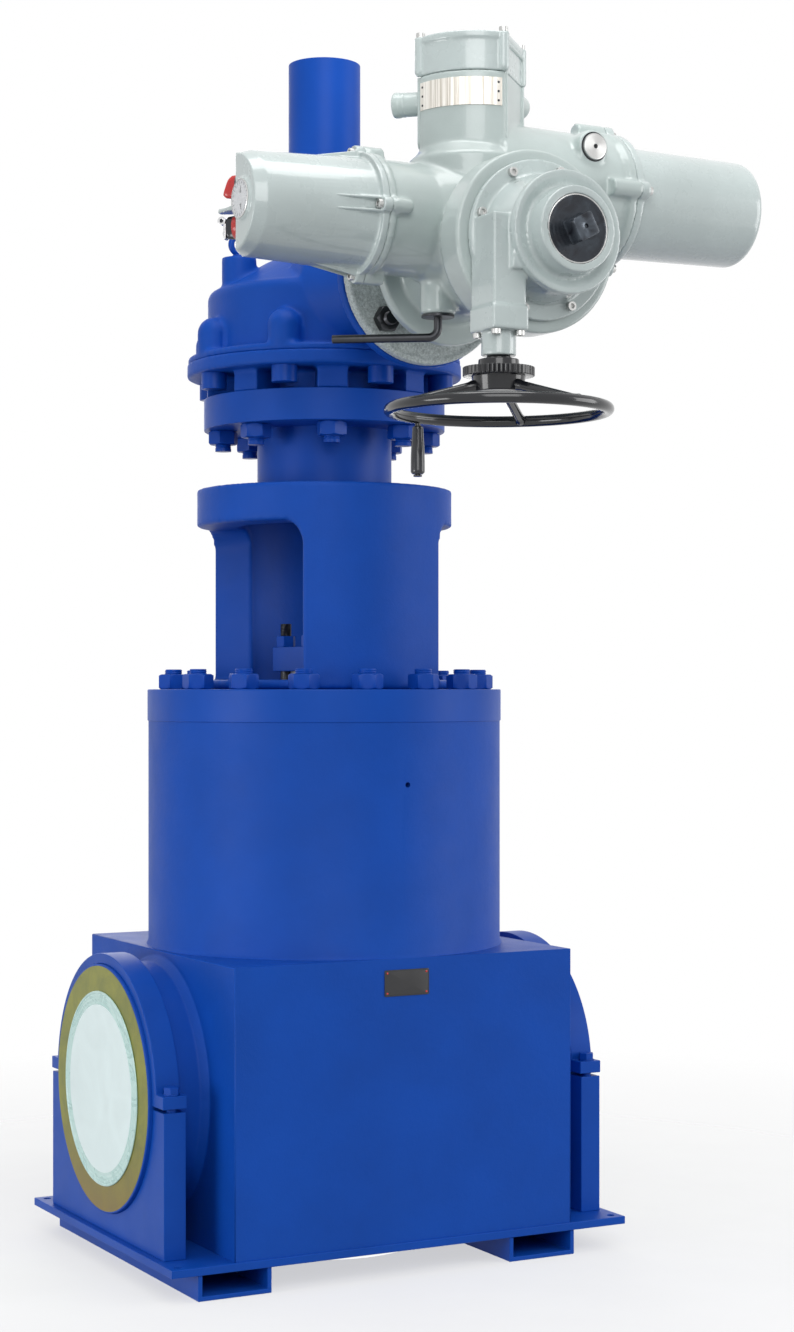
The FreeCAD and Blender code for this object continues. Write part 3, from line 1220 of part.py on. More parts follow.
def control_cover():
    """Tapered cover with a bevelled end, a window and a slanted facet for the selectors."""
    root = -CONTROL_FLANGE_X
    tip = -CONTROL_END_X
    shell = turned([(0, root), (CONTROL_FLANGE_R, root), (CONTROL_FLANGE_R, root + CONTROL_FLANGE),
                    (CONTROL_ROOT_R, root + CONTROL_FLANGE), (CONTROL_TIP_R, tip - CONTROL_BEVEL),
                    (CONTROL_FACE_R, tip), (0, tip)], vec(0, ARM_Y, CONTROL_Z), -X)
    ears = lobes(CONTROL_FLANGE_X, -CONTROL_FLANGE - 4, CONTROL_Z, CONTROL_FLANGE_R, LOBE_R)
    ribs = []
    inner = CONTROL_ROOT_R - 12
    for y, z in lobe_centres(CONTROL_Z, 1.0):
        out = vec(0, y - ARM_Y, z - CONTROL_Z)
        side = vec(0, -out.z, out.y)
        for s in (-1, 1):
            a = vec(CONTROL_FLANGE_X - CONTROL_FLANGE, ARM_Y, CONTROL_Z) + side * s * RIB_SPREAD / 2
            path = [a + out * inner, a + out * (CONTROL_FLANGE_R + 4), a + out * inner - X * RIB_LENGTH]
            face = Part.Face(Part.makePolygon(path + path[:1]))
            ribs.append(face.extrude(side * s * -RIB_THICK))
    bezel_centre = vec(CONTROL_END_X, ARM_Y - WINDOW_OFFSET, CONTROL_Z)
    bezel = cylinder(WINDOW_R + WINDOW_BEZEL, WINDOW_PROUD + 4, bezel_centre + X * 4, -X)
    cover = fuse([shell] + ears + ribs + [bezel])
    origin, normal = facet_frame()
    reach = 3 * CONTROL_ROOT_R
    slab = block(-reach, reach, -reach, reach, 0, reach)
    cover = cover.cut(aim(slab, origin, normal))
    cover = fuse([cover, facet_shield(origin, normal)])
    recess = cylinder(WINDOW_R, WINDOW_DEPTH + WINDOW_PROUD + 1, bezel_centre + X * WINDOW_DEPTH, -X)
    holes = [cylinder(KNOB_SPINDLE_R + SPINDLE_FIT, KNOB_SPINDLE + 1, p - normal * KNOB_SPINDLE, normal)
             for p in knob_points()]
    return cut_all(cover, [recess] + holes)


def facet_shield(origin, normal):
    """Small hood between the two selectors, standing on the facet."""
    along = vec(math.sqrt(0.5), math.sqrt(0.5), 0)
    path = [origin - normal * 2 - along * 26, origin + normal * SHIELD_REACH * 0.5 - along * 26,
            origin + normal * SHIELD_REACH - along * 8, origin + normal * SHIELD_REACH + along * 8,
            origin - normal * 2 + along * 20]
    path = [p - Z * (SHIELD_DROP + SHIELD_THICK / 2) for p in path]
    return Part.Face(Part.makePolygon(path + path[:1])).extrude(Z * SHIELD_THICK)


def knob_points():
    origin, normal = facet_frame()
    return [origin + Z * KNOB_RISE, origin - Z * KNOB_RISE]


def selector(point, tilt_deg):
    """Round selector with a bar grip and a spindle that turns in the cover."""
    base = cylinder(KNOB_R, KNOB_BASE - KNOB_FACE_GAP, vec(0, 0, KNOB_FACE_GAP))
    grip = block(-KNOB_GRIP_WIDTH / 2, KNOB_GRIP_WIDTH / 2, -KNOB_R * 0.92, KNOB_R * 0.92, KNOB_BASE - 1,
                 KNOB_BASE + KNOB_GRIP)
    round_grip = cylinder(KNOB_R * 0.92, KNOB_GRIP + 2, vec(0, 0, KNOB_BASE - 2))
    spindle = cylinder(KNOB_SPINDLE_R, KNOB_SPINDLE - 1, vec(0, 0, 1 - KNOB_SPINDLE))
    knob = fuse([base, grip.common(round_grip), spindle])
    knob.rotate(vec(0, 0, 0), Z, tilt_deg)
    origin, normal = facet_frame()
    return aim(knob, point, normal)


def display_glass():
    centre = vec(CONTROL_END_X + WINDOW_DEPTH, ARM_Y - WINDOW_OFFSET, CONTROL_Z)
    return cylinder(WINDOW_R, GLASS, centre, -X)


def motor_housing():
    """Plain motor cover with a rounded end."""
    tip = MOTOR_END_X
    cover = turned([(0, MOTOR_FLANGE_X), (MOTOR_FLANGE_R, MOTOR_FLANGE_X),
                    (MOTOR_FLANGE_R, MOTOR_FLANGE_X + MOTOR_FLANGE), (MOTOR_ROOT_R, MOTOR_FLANGE_X + MOTOR_FLANGE),
                    (MOTOR_TIP_R, tip - MOTOR_ROUND), (MOTOR_TIP_R - MOTOR_ROUND * 0.3, tip - MOTOR_ROUND * 0.3),
                    (MOTOR_TIP_R - MOTOR_ROUND, tip), (0, tip)], vec(0, ARM_Y, MOTOR_Z), X)
    ears = lobes(MOTOR_FLANGE_X, MOTOR_FLANGE + 4, MOTOR_Z, MOTOR_FLANGE_R, MOTOR_LOBE_R)
    return fuse([cover] + ears)


def oil_plug():
    point = vec(OIL_PLUG_X, OIL_BOSS_Y, MOTOR_Z + OIL_PLUG_RISE)
    disc = cylinder(OIL_PLUG_R, OIL_PLUG, point, -Y)
    return disc.cut(cylinder(OIL_PLUG_R * 0.16, OIL_PLUG, point - Y * OIL_PLUG * 0.5, -Y))


def socket_screw(point, axis):
    """Cap screw head with its hexagon socket, seated on a face."""
    head = cylinder(SCREW_HEAD_R, SCREW_HEAD, point, axis)
    return head.cut(hexagon(SCREW_HEAD_R, SCREW_HEAD, point + axis * SCREW_HEAD * 0.5, axis))


def actuator_screws():
    """All cap screw heads on the actuator's covers."""
    heads = [socket_screw(p, -Y) for p in around_input(COVER_SCREW_COUNT, COVER_SCREW_R, COVER_SCREW_DEG,
                                                       RIM_FACE_Y + COVER_FLANGE)
             if not in_wheel_column(p)]
    face = CONTROL_FLANGE_X - CONTROL_FLANGE - 4
    heads += [socket_screw(vec(face, y, z), -X) for y, z in lobe_centres(CONTROL_Z, CONTROL_FLANGE_R)]
    face = MOTOR_FLANGE_X + MOTOR_FLANGE + 4
    heads += [socket_screw(vec(face, y, z), X) for y, z in lobe_centres(MOTOR_Z, MOTOR_FLANGE_R)]
    top = TOWER_TOP + TOWER_LID + TOWER_LID_PLATE
    heads += [socket_screw(vec(x, y, top), Z) for x, y in tower_posts()]
    corner = [(a, b) for a in (-1, 1) for b in (-1, 1)]
    heads += [socket_screw(vec(WHEEL_X + a * (COLUMN_BOX_X / 2 - SCREW_HEAD_R),
                               WHEEL_Y + b * (COLUMN_BOX_Y / 2 - SCREW_HEAD_R), FOOT_BOTTOM), -Z)
              for a, b in corner]
    return heads


def in_wheel_column(p):
    return (abs(p.x - WHEEL_X) < COLUMN_BOX_X / 2 + SCREW_HEAD_R + 2 and
            p.z < COLUMN_BOX_TOP and p.z > FOOT_BOTTOM)


def hand_gear_cover():
    """Bolted cover over the hand gear, with its nose, and the column that carries the handwheel."""
    axis = vec(0, 0, INPUT_Z)
    face = RIM_FACE_Y
    bulge = turned([(0, face), (COVER_FLANGE_R, face), (COVER_FLANGE_R, face + COVER_FLANGE),
                    (COVER_ROOT_R, face + COVER_FLANGE), (COVER_BODY_R, COVER_LIP_Y - COVER_LIP),
                    (COVER_LIP_R, COVER_LIP_Y - COVER_LIP), (COVER_LIP_R, COVER_LIP_Y),
                    (COVER_DISH_R, COVER_LIP_Y), (COVER_NOSE_R + 6, COVER_LIP_Y - COVER_DISH),
                    (COVER_NOSE_R, COVER_LIP_Y - COVER_DISH + 6), (COVER_NOSE_R - 2, COVER_NOSE_Y),
                    (0, COVER_NOSE_Y)], axis, -Y)
    hx, hy = COLUMN_BOX_X / 2, COLUMN_BOX_Y / 2
    box = block(WHEEL_X - hx, WHEEL_X + hx, WHEEL_Y - hy, WHEEL_Y + hy, FOOT_BOTTOM, COLUMN_BOX_TOP)
    foot = block(WHEEL_X - hx - FOOT_PROUD, WHEEL_X + hx + FOOT_PROUD, WHEEL_Y - hy - FOOT_PROUD,
                 WHEEL_Y + hy, FOOT_BOTTOM, FOOT_TOP)
    bridge = block(WHEEL_X, 0, -COVER_LIP_Y + COVER_LIP, -face, INPUT_Z - COVER_ROOT_R * 0.6, INPUT_Z)
    spigot = cylinder(SPIGOT_R, FOOT_BOTTOM - SPIGOT_BOTTOM + 1, vec(WHEEL_X, WHEEL_Y, SPIGOT_BOTTOM))
    cover = fuse([bulge, box, foot, bridge, spigot])
    shaft = cylinder(WHEEL_SHAFT_R + SPINDLE_FIT, WHEEL_SHAFT_TOP - SPIGOT_BOTTOM + 6,
                     vec(WHEEL_X, WHEEL_Y, SPIGOT_BOTTOM - 1))
    bore = cylinder(COVER_NOSE_BORE_R, COVER_NOSE_Y - face + 2, vec(0, 1 - face, INPUT_Z), -Y)
    return cut_all(cover, [shaft, bore])


def hub_plug():
    """Threaded plug over the hollow shaft, with a square boss for the key."""
    back = COVER_NOSE_Y - PLUG_SET - PLUG_THICK
    disc = cylinder(PLUG_R, PLUG_THICK, vec(0, -back, INPUT_Z), -Y)
    half = PLUG_BOSS / 2
    boss = block(-half, half, -PLUG_BOSS_PROUD - PLUG_THICK, 0, -half, half)
    boss.rotate(vec(0, 0, 0), Y, PLUG_BOSS_DEG)
    boss.translate(vec(0, -back, INPUT_Z))
    return fuse([disc, boss])


def handwheel():
    """Hub, three sloping spokes and a round rim, with the shaft and the pin of the grip."""
    axis = vec(WHEEL_X, WHEEL_Y, 0)
    hub = turned([(0, WHEEL_HUB_BOTTOM), (WHEEL_HUB_TIP_R, WHEEL_HUB_BOTTOM), (WHEEL_HUB_R, WHEEL_DISC_BOTTOM),
                  (WHEEL_DISC_R, WHEEL_DISC_BOTTOM), (WHEEL_DISC_R, WHEEL_DISC_TOP),
                  (WHEEL_COLLAR_R, WHEEL_DISC_TOP), (WHEEL_COLLAR_R, WHEEL_COLLAR_TOP),
                  (WHEEL_NECK_R, WHEEL_COLLAR_TOP), (WHEEL_NECK_R, SPIGOT_BOTTOM - KNOB_FACE_GAP),
                  (WHEEL_SHAFT_R, SPIGOT_BOTTOM - KNOB_FACE_GAP), (WHEEL_SHAFT_R, WHEEL_SHAFT_TOP),
                  (0, WHEEL_SHAFT_TOP)], axis, Z)
    rim = Part.makeTorus(WHEEL_RIM_R, WHEEL_TUBE_R, axis + Z * WHEEL_RIM_Z, Z)
    parts = [hub, rim]
    rise = (WHEEL_DISC_BOTTOM + WHEEL_HUB_BOTTOM) / 2
    for k in range(WHEEL_SPOKES):
        angle = math.radians(WHEEL_SPOKE_DEG + k * 360.0 / WHEEL_SPOKES)
        out = vec(math.cos(angle), math.sin(angle), 0)
        a = axis + out * WHEEL_HUB_TIP_R * 0.8 + Z * rise
        b = axis + out * WHEEL_RIM_R + Z * WHEEL_RIM_Z
        parts.append(cylinder(WHEEL_SPOKE_R, (b - a).Length, a, (b - a).normalize()))
    point = grip_point()
    top = WHEEL_RIM_Z
    low = grip_top() - GRIP_LENGTH
    parts.append(cylinder(GRIP_PIN_R, top - low, point + Z * low))
    parts.append(cylinder(GRIP_PIN_HEAD_R, GRIP_PIN_HEAD - KNOB_FACE_GAP, point + Z * (low - GRIP_PIN_HEAD)))
    wheel = fuse(parts)
    step = 360.0 / WHEEL_NOTCHES
    for k in range(WHEEL_NOTCHES):
        angle = math.radians(k * step)
        spot = axis + vec(math.cos(angle), math.sin(angle), 0) * WHEEL_DISC_R
        wheel = wheel.cut(cylinder(WHEEL_NOTCH_R, WHEEL_DISC_TOP - WHEEL_DISC_BOTTOM + 2,
                                   spot + Z * (WHEEL_DISC_BOTTOM - 1)))
    return wheel


def grip_point():
    angle = math.radians(GRIP_DEG)
    return vec(WHEEL_X + WHEEL_RIM_R * math.cos(angle), WHEEL_Y + WHEEL_RIM_R * math.sin(angle), 0)


def grip_top():
    return WHEEL_RIM_Z - WHEEL_TUBE_R - GRIP_GAP


def handwheel_grip():
    """Turned grip that spins on the pin under the rim."""
    top = grip_top()
    bore = GRIP_PIN_R + SPINDLE_FIT
    low = top - GRIP_LENGTH + KNOB_FACE_GAP
    return turned([(bore, low), (GRIP_R - 2, low), (GRIP_R, low + 3), (GRIP_R, low + GRIP_LENGTH * 0.4),
                   (GRIP_WAIST_R, top - 3), (GRIP_WAIST_R - 2, top), (bore, top)], grip_point(), Z)


def declutch_plate():
    """Round plate that holds the lever spindle in its boss."""
    low = LEVER_BOSS_BOTTOM - LEVER_PLATE
    return tube(LEVER_PLATE_R, LEVER_ROD_R + SPINDLE_FIT, LEVER_PLATE, vec(LEVER_X, ARM_Y, low))


def declutch_lever():
    """Bent rod: spindle up in the boss, a quarter bend, then the arm."""
    angle = math.radians(LEVER_DEG)
    out = vec(math.cos(angle), math.sin(angle), 0)
    foot = vec(LEVER_X, ARM_Y, LEVER_ROD_Z)
    top = vec(LEVER_X, ARM_Y, LEVER_BOSS_BOTTOM + LEVER_SPINDLE - 3)
    bend_top = foot + Z * LEVER_BEND_R
    bend_end = foot + out * LEVER_BEND_R
    middle = foot + (out + Z) * LEVER_BEND_R * (1 - math.sqrt(0.5))
    path = Part.Wire([Part.makeLine(top, bend_top), Part.Arc(bend_top, middle, bend_end).toShape(),
                      Part.makeLine(bend_end, foot + out * LEVER_REACH)])
    section = Part.Wire(Part.makeCircle(LEVER_ROD_R, top, Z))
    return path.makePipeShell([section], True, True)


def end_cap(side):
    """Push-in transport cap on a weld end."""
    face = vec(side * PIPE_FACE_X, 0, PIPE_Z)
    disc = cylinder(END_CAP_R, END_CAP_THICK, face + X * side * END_CAP_FIT, X * side)
    outer = BORE_R - END_CAP_FIT
    skirt = tube(outer, outer - END_CAP_SKIRT_WALL, END_CAP_SKIRT + END_CAP_FIT,
                 face - X * side * END_CAP_SKIRT, X * side)
    return fuse([disc, skirt])


def build():
    save("skid_plate", skid_plate())
    save("skid_runner_left", skid_runner(RUNNER_LEFT_X))
    save("skid_runner_right", skid_runner(RUNNER_RIGHT_X))
    for name, side in (("inlet", -1), ("outlet", 1)):
        save("cradle_saddle_" + name, cradle_saddle(side))
        save("cradle_cap_" + name, cradle_cap(side))
        save("seat_ring_" + name, seat_ring(side))
        save("end_cap_" + name, end_cap(side))
    save("cradle_bolts", cradle_bolts())
    save("valve_body", valve_body())
    save("body_nameplate", body_nameplate())
    save("gate_wedge", gate_wedge())
    save("stem", stem())
    save("bonnet", bonnet())
    save("seal_ring", seal_ring())
    save("thrust_ring", thrust_ring())
    save("bonnet_ring", bonnet_ring())
    save("bonnet_studs", bonnet_studs())
    save("bonnet_nuts", bonnet_nuts())
    save("gland_packing", gland_packing())
    save("gland_follower", gland_follower())
    save("gland_flange", gland_flange())
    save("gland_studs", gland_studs())
    save("gland_nuts", gland_nuts())
    save("yoke", yoke())
    save("yoke_column", yoke_column())
    save("column_studs", column_studs())
    save("column_nuts", column_nuts())
    save("gearbox_base", gearbox_base())
    save("gearbox_housing", gearbox_housing())
    save("gearbox_bolts", gearbox_bolts())
    save("stem_cover_tube", stem_cover_tube())
    save("lifting_eye", lifting_eye())
    save("stem_nut", stem_nut())
    save("bevel_gear", bevel_gear())
    save("nut_bearings", nut_bearings())
    save("pinion_shaft", pinion_shaft())
    save("drive_sleeve", drive_sleeve())
    save("shaft_bearings", shaft_bearings())
    save("adapter_flange", adapter_flange())
    save("adapter_bolts", adapter_bolts())
    save("actuator_housing", actuator_housing())
    save("control_cover", control_cover())
    save("display_glass", display_glass())
    save("mode_selector", selector(knob_points()[0], 20))
    save("control_selector", selector(knob_points()[1], 0))
    save("motor_housing", motor_housing())
    save("terminal_cover", terminal_cover())
    save("rating_band", rating_band())
    save("actuator_plugs", conduit_plugs() + [oil_plug()])
    save("actuator_screws", actuator_screws())
    save("hand_gear_cover", hand_gear_cover())
    save("hub_plug", hub_plug())
    save("handwheel", handwheel())
    save("handwheel_grip", handwheel_grip())
    save("declutch_plate", declutch_plate())
    save("declutch_lever", declutch_lever())


build()
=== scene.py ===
"""Looks of a motorized gate valve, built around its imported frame.

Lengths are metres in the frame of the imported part: the floor is z = 0 and the stem stands on x = y = 0.
"""

import json
import math

import bmesh
import bpy
import numpy as np
from bpy.props import FloatProperty, FloatVectorProperty, IntProperty, PointerProperty
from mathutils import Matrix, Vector

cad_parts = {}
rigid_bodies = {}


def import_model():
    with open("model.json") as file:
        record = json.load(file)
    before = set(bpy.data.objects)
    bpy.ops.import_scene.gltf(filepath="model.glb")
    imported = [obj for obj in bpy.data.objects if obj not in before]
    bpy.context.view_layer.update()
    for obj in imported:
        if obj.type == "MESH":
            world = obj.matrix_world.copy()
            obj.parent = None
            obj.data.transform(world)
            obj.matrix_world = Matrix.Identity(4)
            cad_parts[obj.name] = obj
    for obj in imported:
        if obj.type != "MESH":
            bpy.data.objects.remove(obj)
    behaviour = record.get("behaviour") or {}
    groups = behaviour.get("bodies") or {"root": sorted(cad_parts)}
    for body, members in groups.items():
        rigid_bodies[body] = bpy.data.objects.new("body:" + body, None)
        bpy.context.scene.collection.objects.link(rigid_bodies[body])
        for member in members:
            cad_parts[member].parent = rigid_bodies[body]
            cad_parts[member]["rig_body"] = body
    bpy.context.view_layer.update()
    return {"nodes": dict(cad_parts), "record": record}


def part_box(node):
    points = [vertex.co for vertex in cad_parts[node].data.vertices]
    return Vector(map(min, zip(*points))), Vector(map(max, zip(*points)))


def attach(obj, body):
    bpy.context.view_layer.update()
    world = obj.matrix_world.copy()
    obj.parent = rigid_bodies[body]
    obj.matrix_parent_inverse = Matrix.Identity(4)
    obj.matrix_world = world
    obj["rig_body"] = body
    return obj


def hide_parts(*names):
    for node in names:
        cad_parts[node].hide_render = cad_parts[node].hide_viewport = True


bl_info = {
    "name": "Motorized gate valve",
    "version": (1, 0, 0),
    "blender": (4, 5, 0),
    "location": "View3D > Sidebar > Valve",
    "description": "Builds the visible pieces of a motorized gate valve around its packed frame",
    "category": "Object",
}

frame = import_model()
NODES = frame["nodes"]
SLOTS = {row["node"]: row["material_slot"] for row in frame["record"]["subparts"]}
# The gland's nuts are painted and its studs blackened in the photograph
SLOTS.update(gland_nuts="blue_bolting", gland_studs="black_steel")
TURN = 2 * math.pi
UP = (0.0, 0.0, 1.0)

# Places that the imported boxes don't give: pipe, neck, selectors' facet, window, tower and input axis
PIPE_Z = 0.356
NECK_FOOT_R = 0.3754
FACET = np.array((-0.46464, -0.61064, 2.034))
FACET_OUT = np.array((-1.0, 1.0, 0.0)) / math.sqrt(2)
KNOB_RISE = 0.037
CONTROL_AXIS = np.array((0.0, -0.640, 2.034))
WINDOW = np.array((-0.505, -0.676, 2.034))
WINDOW_R = 0.035
TOWER = np.array((-0.013, -0.640, 0.0))
TOWER_TURN = math.radians(-45)
TOWER_BOW_R = 0.1183
TOWER_NOSE = 0.092
TOWER_HALF = 0.083
TOWER_FLARE = 2.176
TOWER_SEAM = 2.308
LID_PLATE = 2.368
INPUT_Z = 1.972

# Nuts and bolts: width across the flats of the pressure nuts, broken edge of a small bolt, and the
# angle from one nut's or bolt's stop to the next
STUD_NUT = 0.055
BOLT_EDGE = 0.0009
NUT_STEP = 2.399
BOLT_STEP = 1.7

# Angles in degrees above which an edge is sharp: on a turned piece, a machined one and a casting
TURNED_SHARP = 35.0
MACHINED_SHARP = 30.0
CAST_SHARP = 60.0


# Settings


class ValveShapes(bpy.types.PropertyGroup):
    """Sizes of the visible pieces."""

    edge: FloatProperty(
        name="Machined edge", description="Width of a broken edge on a machined piece",
        default=0.0016, unit="LENGTH",
    )
    block_edge: FloatProperty(
        name="Block edge", description="Width of the rounded edges of the forged body",
        default=0.003, unit="LENGTH",
    )
    voxel: FloatProperty(
        name="Casting cell", description="Cell size of the skin of a large casting",
        default=0.0042, unit="LENGTH",
    )
    fine_voxel: FloatProperty(
        name="Cover cell", description="Cell size of the skin of a small cover",
        default=0.0028, unit="LENGTH",
    )
    rounds: IntProperty(
        name="Casting rounds", description="How often a cast skin is smoothed", default=10
    )
    stud_pitch: FloatProperty(
        name="Stud pitch", description="Thread pitch of the pressure studs",
        default=0.004, unit="LENGTH",
    )
    stud_thread: FloatProperty(
        name="Stud thread depth", description="Depth of the thread of the pressure studs",
        default=0.0012, unit="LENGTH",
    )
    stem_pitch: FloatProperty(
        name="Stem pitch", description="Pitch of the trapezoidal stem thread",
        default=0.014, unit="LENGTH",
    )
    stem_thread: FloatProperty(
        name="Stem thread depth", description="Depth of the trapezoidal stem thread",
        default=0.004, unit="LENGTH",
    )


class ValvePaint(bpy.types.PropertyGroup):
    """Colours of the finishes, linear."""

    blue: FloatVectorProperty(
        name="Blue", description="Enamel of the valve and gearbox", subtype="COLOR",
        default=(0.003, 0.066, 0.40), size=3,
    )
    blue_dark: FloatVectorProperty(
        name="Blue in the lee", description="Enamel where the coat is thin", subtype="COLOR",
        default=(0.003, 0.06, 0.38), size=3,
    )
    grey: FloatVectorProperty(
        name="Grey", description="Coat of the actuator housing", subtype="COLOR",
        default=(0.45, 0.52, 0.505), size=3,
    )
    grey_cover: FloatVectorProperty(
        name="Cover grey", description="Coat of the actuator covers", subtype="COLOR",
        default=(0.49, 0.56, 0.55), size=3,
    )


class ValveStage(bpy.types.PropertyGroup):
    """Light and camera."""

    key: FloatProperty(name="Key light", description="Power of the key light", default=85.0)
    fill: FloatProperty(name="Fill light", description="Power of the fill light", default=70.0)
    top: FloatProperty(name="Top light", description="Power of the top light", default=20.0)
    back: FloatProperty(name="Back light", description="Power of the light behind", default=40.0)
    side: FloatProperty(name="Side light", description="Power of the low side light", default=56.0)
    ambient: FloatProperty(name="Room", description="Level of the pale room", default=0.55)
    lens: FloatProperty(name="Lens", description="Focal length of the camera in mm", default=65.95)


def shapes():
    """The shape settings of the scene."""
    return bpy.context.scene.valve_shapes


# Array tools


def unit(v):
    """Vectors scaled to length one."""
    v = np.asarray(v, float)
    return v / np.linalg.norm(v, axis=-1, keepdims=True)


def basis(axis):
    """Rows u, v, w of a right-handed frame, w along axis and u as near to upright as it can be."""
    w = unit(axis)
    near = np.array(UP)
    if abs(w @ near) > 0.99:
        near = np.array((1.0, 0.0, 0.0))
    u = unit(near - (near @ w) * w)
    return np.stack([u, np.cross(w, u), w])


def angles(count):
    """So many even steps round one turn."""
    return np.arange(count) * TURN / count


def around(r, h):
    """Rows of points (r cos t, r sin t, h) from a grid of radii r and one height h per row."""
    t = angles(r.shape[1])
    return np.stack([r * np.cos(t), r * np.sin(t), np.broadcast_to(h[:, None], r.shape)], axis=-1)


def skin(rows, closed=False):
    """Rows of points as vertices and faces, joined round each row and, if closed, last to first."""
    count, across = rows.shape[:2]
    i, j = np.meshgrid(np.arange(count if closed else count - 1), np.arange(across), indexing="ij")
    down, right = (i + 1) % count, (j + 1) % across
    corners = (i * across + j, i * across + right, down * across + right, down * across + j)
    return rows.reshape(-1, 3), np.stack(corners, axis=-1).reshape(-1, 4)


def capped(rows):
    """Rows of points as a skin whose first and last rows are closed to their middles."""
    ends = np.repeat(rows[[0, -1]].mean(axis=1, keepdims=True), rows.shape[1], axis=1)
    return skin(np.concatenate([ends[:1], rows, ends[1:]]))


def rounded(profile, radius, steps=4, ring=False):
    """Each corner p of a line as (1-t)^2 a + 2t(1-t) p + t^2 b, with a and b a radius away from p."""
    p = np.asarray(profile, float)
    if ring:
        before, here, after = np.roll(p, 1, axis=0), p, np.roll(p, -1, axis=0)
    else:
        before, here, after = p[:-2], p[1:-1], p[2:]

    def toward(q):
        gap = np.linalg.norm(q - here, axis=1, keepdims=True)
        return here + (q - here) / np.maximum(gap, 1e-9) * np.minimum(radius, gap * 0.45)

    t = np.linspace(0, 1, steps)[None, :, None]
    a, b = toward(before)[:, None], toward(after)[:, None]
    bend = (1 - t) ** 2 * a + 2 * t * (1 - t) * here[:, None] + t**2 * b
    bend = bend.reshape(-1, p.shape[1])
    return bend if ring else np.concatenate([p[:1], bend, p[-1:]])


def lathe(profile, count=96, cut=None, ring=False):
    """Surface of revolution (R cos t, R sin t, h) of a profile r(k), h(k), with R = r - cut(t, r)."""
    r, h = np.asarray(profile, float).T
    radius = np.repeat(r[:, None], count, axis=1)
    if cut is not None:
        radius = radius - cut(angles(count)[None, :], r[:, None])
    return skin(around(radius, h), ring)


def turned(profile, edge, count=96, ring=False, steps=4):
    """A turned piece whose corners are rounded by an edge."""
    return lathe(rounded(profile, edge, steps, ring), count, ring=ring)


def place(part, origin, axis=UP):
    """A part built about z, stood at origin with its z along axis."""
    points, faces = part
    return np.asarray(origin, float) + points @ basis(axis), faces


def join(*parts):
    """Several parts as one."""
    offsets = np.cumsum([0] + [len(p) for p, _ in parts[:-1]])
    points = np.concatenate([p for p, _ in parts])
    faces = np.concatenate([f + o for (_, f), o in zip(parts, offsets)])
    return points, faces


def scatter(part, spots, turns=None, axis=UP):
    """One part at every spot, turned about its own z by turns(k) and stood along axis."""
    points, faces = part
    spots = np.asarray(spots, float)
    turns = np.zeros(len(spots)) if turns is None else np.asarray(turns, float)
    c, s = np.cos(turns)[:, None], np.sin(turns)[:, None]
    x, y, z = points.T
    local = np.stack([c * x - s * y, s * x + c * y, np.broadcast_to(z, (len(spots), len(z)))], -1)
    made = spots[:, None] + local @ basis(axis)
    steps = np.arange(len(spots))[:, None, None] * len(points)
    return made.reshape(-1, 3), (faces[None] + steps).reshape(-1, 4)


def tube(path, radius, count=16, closed=False, near=UP):
    """Points p(k) + r(k) (cos t n + sin t b), with n and b square to the path's tangent."""
    path = np.asarray(path, float)
    if closed:
        ahead = np.roll(path, -1, axis=0) - np.roll(path, 1, axis=0)
    else:
        ahead = np.gradient(path, axis=0)
    tangent = unit(ahead)
    n = unit(np.cross(tangent, np.asarray(near, float)))
    b = np.cross(tangent, n)
    r = np.broadcast_to(np.asarray(radius, float), len(path))[:, None, None]
    t = angles(count)[None, :, None]
    rows = path[:, None] + r * (np.cos(t) * n[:, None] + np.sin(t) * b[:, None])
    return skin(rows, closed=True) if closed else capped(rows)


def slab(outline, low, high, edge):
    """A plate over a closed outline q(k): rows s q at height h, with s and h going round the edges."""
    q = np.asarray(outline, float)
    reach = np.linalg.norm(q, axis=1).mean()
    t = np.linspace(0, math.pi / 2, 4)
    inset, rise = 1 - edge / reach * (1 - np.sin(t)), edge * (1 - np.cos(t))
    s = np.concatenate([[0], inset, inset[::-1], [0]])
    h = np.concatenate([[low], low + rise, high - rise[::-1], [high]])
    xy = s[:, None, None] * q[None]
    z = np.broadcast_to(h[:, None, None], (*xy.shape[:2], 1))
    return skin(np.concatenate([xy, z], axis=-1))


def box_outline(width, depth, corner):
    """A rectangle with round corners as a closed outline."""
    w, d = width / 2, depth / 2
    return rounded([(w, -d), (w, d), (-w, d), (-w, -d)], corner, 5, ring=True)


def nut(flats, height, bore, count=48):
    """Hex nut: r(t, h) is the smaller of the hexagon and the 30 degree chamfer cone of either end."""
    drop = np.linspace(0, 0.1 * flats / math.sqrt(3), 5)
    h = np.concatenate([[0], drop, [height / 2], height - drop[::-1], [height]])
    hexagon = flats / 2 / np.cos((angles(count) + math.pi / 6) % (math.pi / 3) - math.pi / 6)
    cone = flats / 2 * 0.97 + np.minimum(h, height - h)[:, None] * math.sqrt(3)
    radius = np.minimum(hexagon[None], cone)
    radius[[0, -1]] = bore
    return skin(around(radius, h), closed=True)


def thread_wave(h, pitch, count):
    """Triangle wave |2 frac(h / p - t / 2 pi) - 1| that climbs one pitch per turn."""
    return np.abs(2 * ((h[:, None] / pitch - angles(count)[None] / TURN) % 1.0) - 1)


def threaded(radius, low, high, start, pitch, depth, count=24, per_turn=6):
    """Rod with a thread above start: R - d wave(t, h), drawn in at the tip by 1.6 depths."""
    rows = max(int((high - start) / pitch * per_turn), 2)
    h = np.concatenate([[low], np.linspace(start, high, rows)])
    wave = thread_wave(h, pitch, count)
    wave[h < start + pitch / 2] = 0
    tip = radius - 1.6 * depth + (high - h)[:, None]
    return capped(around(np.minimum(radius - depth * wave, tip), h))


